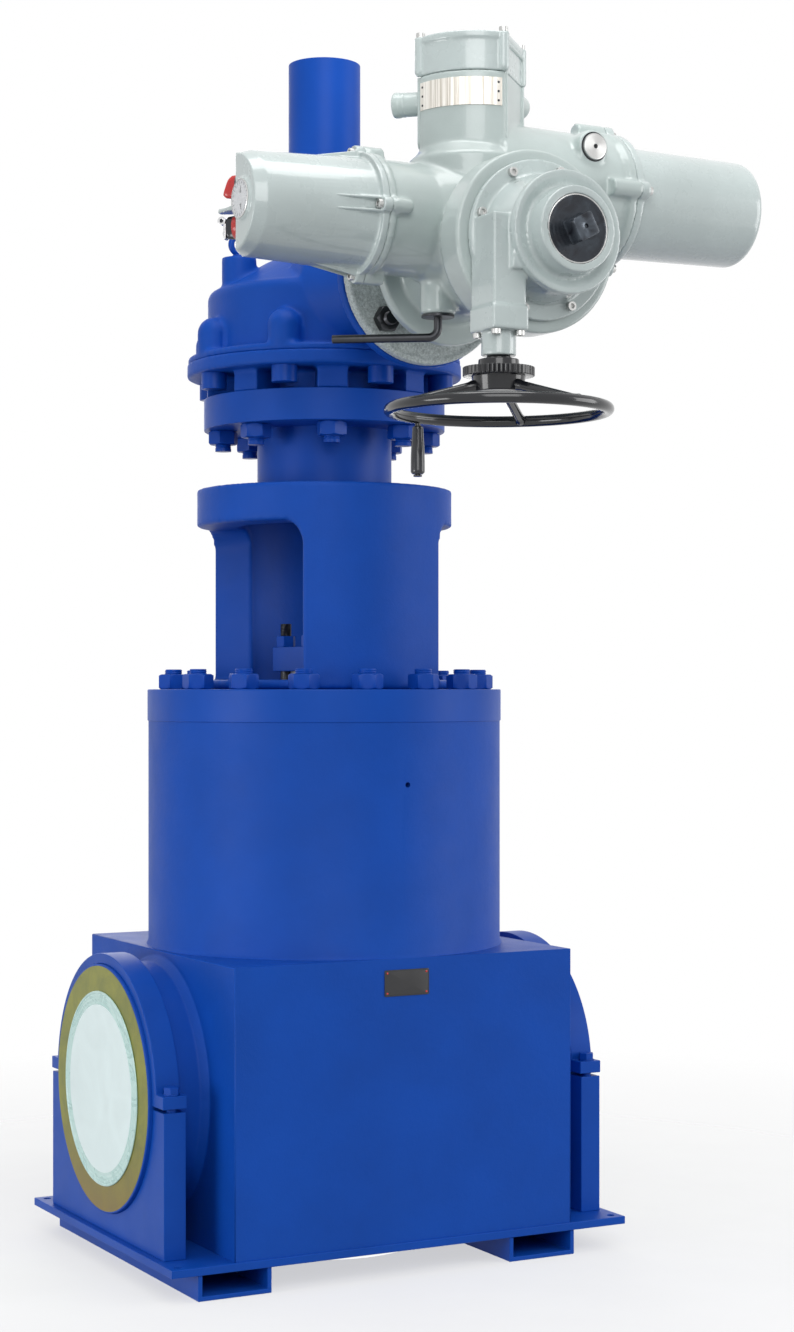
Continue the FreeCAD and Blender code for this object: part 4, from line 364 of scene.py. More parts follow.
def dome(radius, height, count=24):
    """Rivet head r(k) = R cos a, h(k) = H sin a, closed below."""
    a = np.linspace(0, math.pi / 2, 7)
    profile = np.stack([radius * np.cos(a), height * np.sin(a)], 1)
    return lathe(np.concatenate([[(0, -height)], [(radius, -height)], profile]), count)


def blended(rows, count=48):
    """Skin over rows of (radius, height), each radius a number or a function r(t) of an outline."""
    t = angles(count)
    r = np.stack([radius(t) if callable(radius) else np.full(count, radius) for radius, _ in rows])
    return skin(around(r, np.array([height for _, height in rows])))


def squarish(a, b, power):
    """Radius of a superellipse of half widths a and b: (|cos t / a|^p + |sin t / b|^p)^(-1/p)."""

    def radius(t):
        return (np.abs(np.cos(t) / a) ** power + np.abs(np.sin(t) / b) ** power) ** (-1 / power)

    return radius


# Mesh tools


def read(items, field, width=1):
    """One field of a mesh collection as an array."""
    kind = np.int32 if field in ("vertices", "edge_index", "loop_total") else np.float32
    values = np.zeros(len(items) * width, kind)
    items.foreach_get(field, values)
    return values.reshape(-1, width) if width > 1 else values


def show(obj, node=None, look=None, body="valve", sharp=TURNED_SHARP):
    """Gives a piece its material and smooth faces; it rides a body, or stands for a CAD node.

    A piece that stands for a node hides it, rides its body and, if no look is named, takes the finish of
    its slot.
    """
    scene = bpy.context.scene
    if obj.name not in scene.objects:
        scene.collection.objects.link(obj)
    obj.data.materials.clear()
    obj.data.materials.append(finish(look or SLOTS[node]))
    obj.data.shade_smooth()
    obj.data.set_sharp_from_angle(angle=math.radians(sharp))
    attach(obj, NODES[node]["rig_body"] if node else body)
    if node:
        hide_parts(node)
    return obj


def piece(name, part, node=None, look=None, body="valve"):
    """A new piece from arrays, merged along its seams and poles and facing outward."""
    points, faces = part
    mesh = bpy.data.meshes.new(name)
    mesh.from_pydata(points.tolist(), [], faces.tolist())
    bm = bmesh.new()
    bm.from_mesh(mesh)
    bmesh.ops.remove_doubles(bm, verts=bm.verts, dist=1e-6)
    bmesh.ops.dissolve_degenerate(bm, dist=1e-7, edges=bm.edges)
    bmesh.ops.recalc_face_normals(bm, faces=bm.faces)
    bm.to_mesh(mesh)
    bm.free()
    return show(bpy.data.objects.new(name, mesh), node, look, body)


def bare_copy(node, name):
    """A copy of a CAD node's mesh, merged and with its flat areas joined."""
    mesh = NODES[node].data.copy()
    mesh.name = name
    bm = bmesh.new()
    bm.from_mesh(mesh)
    bmesh.ops.remove_doubles(bm, verts=bm.verts, dist=2e-6)
    flat = math.radians(0.5)
    bmesh.ops.dissolve_limit(bm, angle_limit=flat, verts=bm.verts, edges=bm.edges)
    bm.to_mesh(mesh)
    bm.free()
    if "custom_normal" in mesh.attributes:
        mesh.attributes.remove(mesh.attributes["custom_normal"])
    obj = bpy.data.objects.new(name, mesh)
    bpy.context.scene.collection.objects.link(obj)
    return obj


def edge_angles(mesh):
    """Angle between the two faces of every edge, zero where there aren't two."""
    loop_edge = read(mesh.loops, "edge_index")
    totals = read(mesh.polygons, "loop_total")
    loop_face = np.repeat(np.arange(len(totals)), totals)
    order = np.argsort(loop_edge, kind="stable")
    edges, first, count = np.unique(loop_edge[order], return_index=True, return_counts=True)
    pair = count == 2
    a = loop_face[order[first[pair]]]
    b = loop_face[order[first[pair] + 1]]
    normals = read(mesh.polygons, "normal", 3)
    angle = np.zeros(len(mesh.edges))
    angle[edges[pair]] = np.arccos(np.clip((normals[a] * normals[b]).sum(1), -1, 1))
    return angle


def machined(node, width, look=None, core=0.0):
    """A copy of a CAD node whose sharp edges are bevelled, less where one is under 2.2 widths long.

    Edges inside the core radius, and those that end on it within a millimetre, stay sharp.
    """
    obj = bare_copy(node, node + "_skin")
    mesh = obj.data
    points = read(mesh.vertices, "co", 3)
    ends = read(mesh.edges, "vertices", 2)
    length = np.linalg.norm(points[ends[:, 0]] - points[ends[:, 1]], axis=1)
    bent = edge_angles(mesh) >= math.radians(MACHINED_SHARP)
    weight = np.clip(length / (2.2 * width), 0, 1) * bent
    inside = np.linalg.norm(points[ends].mean(axis=1)[:, :2], axis=1) < core
    on_core = np.abs(np.linalg.norm(points[:, :2], axis=1) - core) < 0.001
    weight[inside | on_core[ends].any(axis=1)] = 0
    weights = mesh.attributes.new("bevel_weight_edge", "FLOAT", "EDGE")
    weights.data.foreach_set("value", weight.astype(np.float32))
    show(obj, node, look, sharp=180.0)
    mesh.edges.foreach_set("use_edge_sharp", bent & (weight == 0))
    bevel = obj.modifiers.new("broken edges", "BEVEL")
    bevel.width = width
    bevel.segments = 2
    bevel.limit_method = "WEIGHT"
    bevel.use_clamp_overlap = False
    bevel.harden_normals = True
    return obj


def relax(points, ends, rounds):
    """Taubin smoothing: p += s (mean of the neighbours - p), with s = 0.5 and -0.52 in turn."""
    a, b = ends.T
    most = len(points)
    count = np.maximum(np.bincount(ends.ravel(), minlength=most), 1)[:, None]
    for _ in range(rounds):
        for share in (0.5, -0.52):
            total = np.stack([
                np.bincount(a, column[b], minlength=most) + np.bincount(b, column[a], minlength=most)
                for column in points.T
            ], axis=1)
            points = points + share * (total / count - points)
    return points


def cast(node, voxel, rounds, look=None):
    """A cast skin of a CAD node: remeshed in even cells, then smoothed so that its corners blend."""
    obj = bare_copy(node, node + "_cells")
    cells = obj.modifiers.new("cells", "REMESH")
    cells.mode = "VOXEL"
    cells.voxel_size = voxel
    graph = bpy.context.evaluated_depsgraph_get()
    mesh = bpy.data.meshes.new_from_object(obj.evaluated_get(graph))
    bpy.data.objects.remove(obj)
    points = read(mesh.vertices, "co", 3).astype(float)
    points = np.clip(relax(points, read(mesh.edges, "vertices", 2), rounds), *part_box(node))
    mesh.vertices.foreach_set("co", points.astype(np.float32).ravel())
    mesh.update()
    return show(bpy.data.objects.new(node + "_skin", mesh), node, look, sharp=CAST_SHARP)


def solids(node):
    """Low and high corners of the solids of a CAD node, found by passing the lowest label on."""
    mesh = NODES[node].data
    points = read(mesh.vertices, "co", 3).astype(float)
    _, same = np.unique(np.round(points, 6), axis=0, return_inverse=True)
    same = same.ravel()
    ends = same[read(mesh.edges, "vertices", 2)]
    label = np.arange(same.max() + 1)
    settled = False
    while not settled:
        low = np.minimum(label[ends[:, 0]], label[ends[:, 1]])
        passed = label.copy()
        np.minimum.at(passed, ends[:, 0], low)
        np.minimum.at(passed, ends[:, 1], low)
        passed = passed[passed]
        settled = bool((passed == label).all())
        label = passed
    _, group = np.unique(label[same], return_inverse=True)
    group = group.ravel()
    lo = np.full((group.max() + 1, 3), np.inf)
    hi = -lo
    np.minimum.at(lo, group, points)
    np.maximum.at(hi, group, points)
    return lo, hi


# Shader tools


class Value:
    """A shader output that can be used in sums."""

    def __init__(self, graph, output):
        self.graph = graph
        self.output = output

    def sum(self, operation, first, second=None):
        """One Math node."""
        given = {0: first} if second is None else {0: first, 1: second}
        return self.graph.add("ShaderNodeMath", {"operation": operation}, given)

    def __add__(self, other):
        return self.sum("ADD", self, other)

    def __radd__(self, other):
        return self.sum("ADD", other, self)

    def __sub__(self, other):
        return self.sum("SUBTRACT", self, other)

    def __rsub__(self, other):
        return self.sum("SUBTRACT", other, self)

    def __mul__(self, other):
        return self.sum("MULTIPLY", self, other)

    def __rmul__(self, other):
        return self.sum("MULTIPLY", other, self)

    def __truediv__(self, other):
        return self.sum("DIVIDE", self, other)

    def __rtruediv__(self, other):
        return self.sum("DIVIDE", other, self)

    def __pow__(self, other):
        return self.sum("POWER", self, other)

    def vector(self):
        """This value as the first coordinate of a vector."""
        return self.graph.add("ShaderNodeCombineXYZ", None, {"X": self})

    def sine(self):
        """Its sine."""
        return self.sum("SINE", self)

    def between(self, low, high):
        """Zero at low and one at high, held outside them."""
        return self.graph.add(
            "ShaderNodeMapRange", {"clamp": True}, {"Value": self, "From Min": low, "From Max": high}
        )


class Graph:
    """The nodes of one material or world."""

    def __init__(self, tree):
        self.tree = tree
        tree.nodes.clear()

    def add(self, kind, settings=None, given=None, out=0):
        """A node of that type, its settings set and its inputs set or linked, as one output."""
        node = self.tree.nodes.new(kind)
        for key, value in (settings or {}).items():
            setattr(node, key, value)
        for key, value in (given or {}).items():
            socket = node.inputs[key]
            if isinstance(value, Value):
                self.tree.links.new(value.output, socket)
            else:
                socket.default_value = value
        return Value(self, node.outputs[out]) if node.outputs else node

    def place(self, output="Object"):
        """Texture coordinates of the object."""
        return self.add("ShaderNodeTexCoord", out=output)

    def stretch(self, vector, scale):
        """Coordinates scaled along each axis."""
        given = {"Vector": vector, "Scale": scale}
        return self.add("ShaderNodeMapping", {"vector_type": "POINT"}, given)

    def noise(self, vector, scale, detail=3.0, rough=0.5, warp=0.0):
        """Noise of about one feature per 1 / scale metres."""
        given = {"Vector": vector, "Scale": scale, "Detail": detail, "Roughness": rough}
        given["Distortion"] = warp
        return self.add("ShaderNodeTexNoise", None, given)

    def cells(self, vector, scale):
        """Distance to the nearest of scattered points."""
        return self.add("ShaderNodeTexVoronoi", None, {"Vector": vector, "Scale": scale})

    def part(self, vector, axis):
        """One coordinate of a vector."""
        return self.add("ShaderNodeSeparateXYZ", None, {"Vector": vector}, out=axis)

    def mix(self, factor, a, b):
        """One colour turning into another."""
        a = a if isinstance(a, Value) else (*a, 1.0)
        b = b if isinstance(b, Value) else (*b, 1.0)
        return self.add("ShaderNodeMix", {"data_type": "RGBA"}, {0: factor, 6: a, 7: b}, out=2)

    def bump(self, height, distance, under=None):
        """A normal tilted by a height field that is distance high."""
        given = {"Height": height, "Distance": distance, "Strength": 1.0}
        if under is not None:
            given["Normal"] = under
        return self.add("ShaderNodeBump", None, given)

    def surface(self, given):
        """The material's own shader."""
        shader = self.add("ShaderNodeBsdfPrincipled", None, given)
        self.add("ShaderNodeOutputMaterial", None, {"Surface": shader})


def fresh(name):
    """A new material and its graph."""
    material = bpy.data.materials.new(name)
    material.use_nodes = True
    return material, Graph(material.node_tree)


def shade(colour, by):
    """A colour made lighter or darker."""
    return tuple(min(c * by, 1.0) for c in colour)


def enamel(name, colour, rough, peel=0.00006, cast_by=0.0, dust=0.015, coat=0.0, ior=1.27):
    """Sprayed paint: uneven thickness, orange peel, dust on what faces up, and a cast skin beneath."""
    material, g = fresh(name)
    at = g.place()
    cloud = g.noise(at, 5.0, 4.0, 0.6).between(0.3, 0.7)
    fleck = g.noise(at, 420.0, 2.0, 0.6).between(0.35, 0.65)
    paint = g.mix(cloud, shade(colour, 0.90), shade(colour, 1.07))
    up = g.part(g.place("Normal"), 2).between(0.55, 1.0)
    grit = g.noise(at, 26.0, 6.0, 0.7).between(0.42, 0.72)
    settled = up * grit * dust
    paint = g.mix(settled, paint, (0.42, 0.44, 0.46))
    height = fleck * 0.35 + g.noise(at, 170.0, 2.0, 0.5)
    normal = g.bump(height, peel)
    if cast_by:
        sand = g.noise(at, 300.0, 5.0, 0.75) + g.noise(at, 70.0, 3.0, 0.5)
        normal = g.bump(sand, cast_by, under=normal)
    smear = g.noise(at, 14.0, 4.0, 0.6)
    g.surface({
        "Base Color": paint,
        "Roughness": rough + smear * 0.16 + settled * 0.9,
        "Coat Weight": coat - settled * 0.8,
        "Coat Roughness": 0.07,
        "IOR": ior,
        "Normal": normal,
    })
    return material


def metal(name, colour, rough, along=(1.0, 1.0, 1.0), stain=0.12, groove=0.00002):
    """Worked metal: fine lines drawn along one axis, oil stain and a little wear in the shine."""
    material, g = fresh(name)
    at = g.place()
    lines = g.noise(g.stretch(at, along), 380.0, 4.0, 0.7)
    cloud = g.noise(at, 22.0, 5.0, 0.65).between(0.35, 0.75)
    tone = g.mix(cloud * stain * 4.0, colour, shade(colour, 0.62))
    tone = g.mix(lines.between(0.3, 0.8) * 0.3, tone, shade(colour, 1.12))
    g.surface({
        "Base Color": tone,
        "Metallic": 1.0,
        "Roughness": rough + lines * 0.14 + cloud * 0.1,
        "Normal": g.bump(lines, groove),
    })
    return material


def moulded(name, colour, rough, grain=0.00003, coat=0.0):
    """Moulded plastic or gloss enamel: fine grain, faint flow lines and finger marks."""
    material, g = fresh(name)
    at = g.place()
    flow = g.noise(at, 9.0, 3.0, 0.5, 1.2)
    marks = g.noise(at, 38.0, 5.0, 0.7).between(0.45, 0.8)
    tone = g.mix(flow, shade(colour, 0.9), shade(colour, 1.08))
    g.surface({
        "Base Color": tone,
        "Roughness": rough + marks * 0.14,
        "Coat Weight": coat,
        "Coat Roughness": 0.06,
        "Normal": g.bump(g.noise(at, 650.0, 3.0, 0.6), grain),
    })
    return material


def braided(name, colour):
    """Graphite packing: a woven height of two crossing sines."""
    material, g = fresh(name)
    at = g.place()
    a = (g.part(at, 0) * 900.0 + g.part(at, 2) * 900.0).sine()
    b = (g.part(at, 1) * 900.0 - g.part(at, 2) * 900.0).sine()
    g.surface({
        "Base Color": g.mix((a * b).between(-1.0, 1.0), shade(colour, 0.6), shade(colour, 1.5)),
        "Roughness": 0.72 + g.noise(at, 40.0) * 0.1,
        "Normal": g.bump(a * b, 0.0003),
    })
    return material


def clear(name):
    """Window glass, a little dusty."""
    material, g = fresh(name)
    at = g.place()
    haze = g.noise(at, 60.0, 5.0, 0.7).between(0.4, 0.9)
    g.surface({
        "Base Color": (0.93, 0.96, 0.97, 1.0),
        "Roughness": 0.03 + haze * 0.08,
        "Alpha": 0.16 + haze * 0.08,
        "IOR": 1.5,
        "Normal": g.bump(g.noise(at, 120.0), 0.00001),
    })
    return material


def brushed_band(name):
    """Thin stainless band brushed up and down, so that what it mirrors breaks into upright streaks; its
    colour is also striped dark and bright along them as a painted reflection.
    """
    material, g = fresh(name)
    upright = g.stretch(g.place(), (1.0, 1.0, 0.02))
    fine = g.noise(upright, 900.0, 3.0, 0.7)
    brushing_and_painted_streaks = g.noise(upright, 95.0, 3.0, 0.7).between(0.35, 0.65)
    g.surface({
        # Base colour: upright dark and bright stripes, a painted reflection of the room over the
        # stainless tint
        "Base Color": g.mix(brushing_and_painted_streaks, (0.48, 0.44, 0.38), (0.93, 0.91, 0.86)),
        "Metallic": 0.85,
        "Roughness": 0.30 + fine * 0.22,
        "Normal": g.bump(fine + brushing_and_painted_streaks * 1.5, 0.0004),
    })
    return material


def sand_cast(name):
    """Unfilled sand casting under thin grey paint: coarse pits, flecks that catch the light."""
    material, g = fresh(name)
    at = g.place()
    grain = g.noise(at, 210.0, 6.0, 0.8)
    pits = g.cells(at, 150.0).between(0.0, 0.5)
    g.surface({
        "Base Color": g.mix(grain.between(0.38, 0.62), (0.33, 0.38, 0.375), (0.68, 0.74, 0.73)),
        "Roughness": 0.42 + grain * 0.2,
        "Normal": g.bump(grain + pits * 0.4, 0.0018),
    })
    return material


def mint_film(name):
    """Pale green translucent plastic of the protector, with a moulding swirl."""
    material, g = fresh(name)
    at = g.place()
    swirl = g.noise(g.stretch(at, (1.0, 1.0, 2.0)), 12.0, 4.0, 0.6, 1.5).between(0.35, 0.7)
    g.surface({
        "Base Color": g.mix(swirl, (0.42, 0.66, 0.62), (0.60, 0.80, 0.76)),
        "Roughness": 0.24 + swirl * 0.12,
        "Coat Weight": 0.2,
        "Normal": g.bump(g.noise(at, 500.0, 3.0, 0.6), 0.00003),
    })
    return material


def weld_varnish(name):
    """Olive lacquer over a machined weld end: turning lines r = (y^2 + z^2)^0.5, rusty at the foot."""
    material, g = fresh(name)
    at = g.place()
    y, z = g.part(at, 1), g.part(at, 2) - PIPE_Z
    lines = g.noise(((y * y + z * z) ** 0.5).vector(), 1500.0, 3.0, 0.7)
    stain = g.noise(at, 16.0, 5.0, 0.65, 0.6).between(0.35, 0.7)
    low = 1.0 - g.part(at, 2).between(0.12, 0.30)
    tone = g.mix(stain, (0.245, 0.25, 0.024), (0.12, 0.145, 0.014))
    tone = g.mix(low * 0.7, tone, (0.20, 0.10, 0.012))
    g.surface({
        "Base Color": g.mix(lines.between(0.4, 0.7) * 0.4, tone, (0.30, 0.28, 0.05)),
        "Metallic": 0.75 - stain * 0.2,
        "Roughness": 0.30 + lines * 0.2,
        "Coat Weight": 0.08,
        "Normal": g.bump(lines, 0.00008),
    })
    return material


def dial_face(name):
    """Pale printed dial, left bare, a little shinier where it has been wiped."""
    material, g = fresh(name)
    wipe = g.noise(g.stretch(g.place(), (1.0, 3.0, 1.0)), 160.0, 4.0, 0.6)
    g.surface({
        "Base Color": g.mix(wipe.between(0.35, 0.65), (0.58, 0.58, 0.60), (0.86, 0.86, 0.87)),
        "Metallic": 0.1,
        "Roughness": 0.3 + wipe * 0.2,
        "Normal": g.bump(wipe, 0.00002),
    })
    return material


def worn_black_and_painted_sheen(name, by):
    """Blackened steel whose faces are rubbed through in patches, more or less bright; the pale bluish
    patches are partly wear and partly painted sheen and reflection.
    """
    material, g = fresh(name)
    at = g.place()
    # Pale bluish patches over black: partly rubbed-through wear, partly painted sheen and reflection
    rub_and_painted_sheen = g.noise(at, 34.0, 3.0, 0.55, 0.6).between(0.35, 0.68)
    g.surface({
        "Base Color": g.mix(rub_and_painted_sheen, (0.010, 0.012, 0.018), shade((0.34, 0.40, 0.48), by)),
        "Metallic": 0.3 + rub_and_painted_sheen * 0.5,
        "Roughness": 0.30 - rub_and_painted_sheen * 0.10,
        "Normal": g.bump(g.noise(at, 520.0, 3.0, 0.6), 0.00003),
    })
    return material


FINISHES = {}


def finish(name):
    """The material of a slot of the record, or of a piece that has none, made once."""
    if name not in FINISHES:
        paint = bpy.context.scene.valve_paint
        blue, dark = tuple(paint.blue), tuple(paint.blue_dark)
        grey, cover = tuple(paint.grey), tuple(paint.grey_cover)
        makers = {
            "blue_paint": lambda n: enamel(n, blue, 0.36),
            "blue_casting": lambda n: enamel(n, blue, 0.42, cast_by=0.00035),
            "blue_bolting": lambda n: enamel(n, dark, 0.30, peel=0.00009),
            "grey_housing": lambda n: enamel(
                n, grey, 0.26, cast_by=0.00018, dust=0.02, coat=0.6, ior=1.5),
            "grey_cover": lambda n: enamel(
                n, cover, 0.2, cast_by=0.00003, dust=0.01, coat=0.7, ior=1.5),
            "black_enamel": lambda n: moulded(n, (0.007, 0.008, 0.011), 0.12, coat=0.15),
            "black_steel": lambda n: metal(n, (0.055, 0.057, 0.062), 0.26),
            "white_plastic": lambda n: moulded(n, (0.80, 0.93, 0.925), 0.42, grain=0.00008),
            "red_plastic": lambda n: moulded(n, (0.55, 0.02, 0.018), 0.22, coat=0.3),
            "black_plastic": lambda n: moulded(n, (0.008, 0.010, 0.016), 0.16, coat=0.15),
            "bare_plate": lambda n: moulded(n, (0.012, 0.012, 0.014), 0.28, coat=0.2),
            "stainless": lambda n: metal(n, (0.62, 0.60, 0.56), 0.24, (1.0, 1.0, 14.0)),
            "screw_steel": lambda n: metal(n, (0.56, 0.56, 0.55), 0.26),
            "stem_steel": lambda n: metal(n, (0.60, 0.60, 0.59), 0.2, (1.0, 1.0, 9.0)),
            "gear_steel": lambda n: metal(n, (0.42, 0.42, 0.43), 0.32),
            "bearing_steel": lambda n: metal(n, (0.70, 0.70, 0.71), 0.12),
            "forged_steel": lambda n: metal(n, (0.45, 0.45, 0.45), 0.36),
            "bronze": lambda n: metal(n, (0.62, 0.40, 0.15), 0.28),
            "graphite": lambda n: braided(n, (0.05, 0.05, 0.055)),
            "display_glass": clear,
            # Hub plug disc and boss: black with pale patches that are partly wear and partly painted
            # sheen
            "plug_black": lambda n: worn_black_and_painted_sheen(n, 0.16),
            "rubbed_black": lambda n: worn_black_and_painted_sheen(n, 0.35),
            "brushed_band": brushed_band,
            "sand_cast": sand_cast,
            "mint_film": mint_film,
            "weld_varnish": weld_varnish,
            "dial_face": dial_face,
        }
        FINISHES[name] = makers[name](name)
    return FINISHES[name]


# Pieces


def nuts_and_studs(name, flats, pitch, depth):
    """A ring of hex nuts on threaded studs, each nut stopped at its own angle."""
    nuts, studs = name + "_nuts", name + "_studs"
    lo, hi = solids(nuts)
    height = float((hi - lo)[0, 2])
    rod_lo, rod_hi = solids(studs)
    radius = float((rod_hi - rod_lo)[0, 0]) / 2
    seats, feet = (lo + hi) / 2, (rod_lo + rod_hi) / 2
    seats[:, 2], feet[:, 2] = lo[:, 2], 0.0
    rest = np.arange(len(lo)) * NUT_STEP % TURN
    one = nut(flats, height, bore=radius * 0.98)
    piece(name + "_nut_set", scatter(one, seats, rest * 0.6), nuts)
    start = float(lo[0, 2]) - 0.3 * height
    rod = threaded(radius * 0.99, float(rod_lo[0, 2]), float(rod_hi[0, 2]), start, pitch, depth)
    piece(name + "_stud_set", scatter(rod, feet, rest), studs)


def end_cap(side, way):
    """Moulded protector with shallow rings, its bare paper disc, and the weld face round it."""
    node = f"end_cap_{side}"
    lo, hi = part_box(node)
    face = lo[0] if way < 0 else hi[0]
    z, radius = (lo[2] + hi[2]) / 2, (hi[2] - lo[2]) / 2
    spot, axis = (face, 0, z), (way, 0, 0)
    pitch, floor, back = 0.0085, -0.0012, -0.0026

    r = np.linspace(0, radius * 0.97, 110)
    ridge = np.clip(np.abs((r / pitch) % 1.0 - 0.5) * 4 - 0.6, 0, 1)
    web = np.stack([r, floor + 0.0007 * ridge * (r > radius * 0.75)], 1)
    lip = [web[-1], (radius * 0.975, 0.0), (radius - 0.0008, 0.0), (radius, back), (0, back)]
    cap = lathe(np.concatenate([web[:-1], rounded(lip, 0.0008)]), 128)
    wall = [(0.170, -0.002), (0.1738, -0.002), (0.1738, -0.026), (0.170, -0.026)]
    skirt = turned(wall, 0.0008, ring=True)
    piece(f"cap_{side}", place(join(cap, skirt), spot, axis), node, "mint_film")

    r = np.linspace(0, radius * 0.86, 24)
    front, behind = -0.00035, -0.0009
    sheet = np.concatenate([np.stack([r, np.full(24, front)], 1), [(r[-1], behind), (0, behind)]])
    piece(f"cap_disc_{side}", place(lathe(sheet, 128), spot, axis),
          look="white_plastic", body=f"{side}_cap")

    inner, outer = 0.1765, 0.2462
    r = np.linspace(inner, outer, 120)
    groove = 0.00025 + 0.00006 * np.sin(r * 5200.0)
    groove[[0, -1]] = 0.0
    ring = np.concatenate([np.stack([r, groove], 1), [(outer, -0.0004), (inner, -0.0004)]])
    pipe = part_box("valve_body")[0 if way < 0 else 1][0]
    piece(f"weld_face_{side}", place(lathe(ring, 160, ring=True), (pipe, 0, z), axis),
          look="weld_varnish")


def nameplate():
    """Bare plate on the body with a folded rim and four rivets."""
    lo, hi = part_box("body_nameplate")
    w, d, t = hi[0] - lo[0], hi[2] - lo[2], hi[1] - lo[1]
    spot, axis = ((lo[0] + hi[0]) / 2, hi[1], (lo[2] + hi[2]) / 2), (0, -1, 0)
    face = t * 0.8
    plate = slab(box_outline(d, w, 0.003), 0.0, face, 0.0004)
    fold = box_outline(d - 0.003, w - 0.003, 0.003)
    fold = np.concatenate([fold, np.full((len(fold), 1), face)], 1)
    rim = tube(fold, 0.0006, 10, closed=True)
    piece("nameplate", place(join(plate, rim), spot, axis), "body_nameplate")
    x, y = d / 2 - 0.006, w / 2 - 0.006
    corners = np.array([(-x, -y, face), (-x, y, face), (x, -y, face), (x, y, face)])
    rivets = scatter(dome(radius=0.0022, height=0.0012), corners)
    piece("nameplate_rivets", place(rivets, spot, axis), look="red_plastic")


def tower_point(lateral, out, z):
    """Points beside the tower's axis: lateral along its width, out towards its bowed front."""
    c, s = math.cos(TOWER_TURN), math.sin(TOWER_TURN)
    lateral, out = np.asarray(lateral, float), -np.asarray(out, float)
    x = TOWER[0] + lateral * c - out * s
    y = TOWER[1] + lateral * s + out * c
    return np.stack([x, y, np.broadcast_to(z, x.shape)], -1)


def band_rivets():
    """Three rivets at either end of the rating band, on its curve."""
    lo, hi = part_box("rating_band")
    level = np.linspace(lo[2] + 0.009, hi[2] - 0.009, 3)
    lateral = np.repeat([-0.0735, 0.0735], 3)
    centre = TOWER_NOSE - TOWER_BOW_R
    bow = centre + np.sqrt((TOWER_BOW_R + 0.0016) ** 2 - lateral**2)
    spots = tower_point(lateral, bow, np.tile(level, 2))
    head = dome(radius=0.0024, height=0.0012)
    heads = [place(head, spot, spot - tower_point(0, centre, spot[2])) for spot in spots]
    piece("band_rivets", join(*heads), look="black_steel")


def display():
    """Position window: a thin bright edge, a dial with ticks and pointers, and a domed glass."""
    axis, inner = (-1, 0, 0), WINDOW_R - 0.0016
    edge = [(inner, 0.0), (WINDOW_R, 0.0), (WINDOW_R, 0.0012), (inner, 0.0022)]
    ring = turned(edge, 0.0004, 72, ring=True)
    piece("window_ring", place(ring, WINDOW, axis), look="screw_steel")
    wide, print_z = WINDOW_R - 0.0014, 0.0003
    dial = turned([(0, -0.0002), (wide, -0.0002), (wide, print_z), (0, print_z)], 0.0001, 72)
    piece("window_dial", place(dial, WINDOW, axis), look="dial_face")

    def on_dial(radius, turns):
        x, y = radius * np.cos(turns), radius * np.sin(turns)
        return np.stack([x, y, np.full(len(turns), print_z)], -1)

    t, a = angles(20), np.radians([-12.0, 196.0])
    tick = slab(box_outline(0.0052, 0.0011, 0.0003), 0, 0.0003, 0.0001)
    arrow = rounded([(0.009, 0.0), (-0.005, 0.0034), (-0.005, -0.0034)], 0.0006, ring=True)
    hands = scatter(slab(arrow, 0, 0.0004, 0.0001), on_dial(0.0150, a), a)
    marks = join(scatter(tick, on_dial(0.0285, t), t), hands)
    piece("window_marks", place(marks, WINDOW, axis), look="black_plastic")
    r = np.linspace(0, wide, 12)
    front = np.stack([r, 0.0024 - 0.0010 * (r / wide) ** 2], 1)
    glass = lathe(np.concatenate([front, [(wide, 0.0009), (0, 0.0009)]]), 72)
    piece("window_glass", place(glass, WINDOW, axis), "display_glass")


def knob(name, spot, look, base, reach, lean):
    """Selector: a turned skirt and an upright grip, h rising by base + k (reach - base)(1 - lean u)."""
    wide = 0.0232
    skirt = turned([(0, 0.0003), (wide, 0.0003), (wide, base * 0.6), (0.0205, base), (0, base)],
                   0.0012, 72)
    foot = base - 0.002
    k = np.linspace(0, 1, 9)
    swell = 1 - 0.10 * k - 0.22 * np.clip((k - 0.8) / 0.2, 0, 1)
    rows = [(0.0, foot)]
    for q, w in zip(k, swell):
        waist = 1 - 0.15 * math.sin(math.pi * q)
        rows.append((squarish(0.0218 * w, 0.0088 * w * waist, 3.2), foot + (reach - foot) * q))
    points, faces = blended([*rows, (0.0, reach)])
    x, _, z = points.T
    points[:, 2] = z - lean * x * np.clip((z - base) / (reach - base), 0, 1)
    piece(name + "_skirt", place(skirt, spot, FACET_OUT), look=look, body=name + "_knob")
    piece(name + "_grip", place((points, faces), spot, FACET_OUT), name + "_selector")


def hasp():
    """Bright lock on the lower selector: a bored barrel across it and a plate down its face."""
    spot = FACET - (0, 0, KNOB_RISE)
    across = np.array((-1.0, -1.0, 0.0))
    eye = spot + FACET_OUT * 0.0435 + (0, 0, 0.013)
    bore, wall = 0.0036, 0.0076
    tube_wall = [(bore, -0.007), (wall, -0.007), (wall, 0.007), (bore, 0.007)]
    barrel = turned(tube_wall, 0.0007, 40, ring=True)
    pin = turned([(0, -0.005), (bore, -0.005), (bore, 0.004), (0, 0.004)], 0.0005, 24)
    plate = slab(box_outline(0.030, 0.016, 0.003), 0.0, 0.0045, 0.0012)
    lock = join(
        place(barrel, eye, across),
        place(plate, spot + FACET_OUT * 0.0350 - (0, 0, 0.006), FACET_OUT),
        place(dome(radius=0.0055, height=0.004, count=32), spot + FACET_OUT * 0.0394 - (0, 0, 0.010),
              FACET_OUT),
    )
    piece("hasp", lock, look="bearing_steel", body="control_knob")
    piece("hasp_pin", place(pin, eye, across), look="black_steel", body="control_knob")


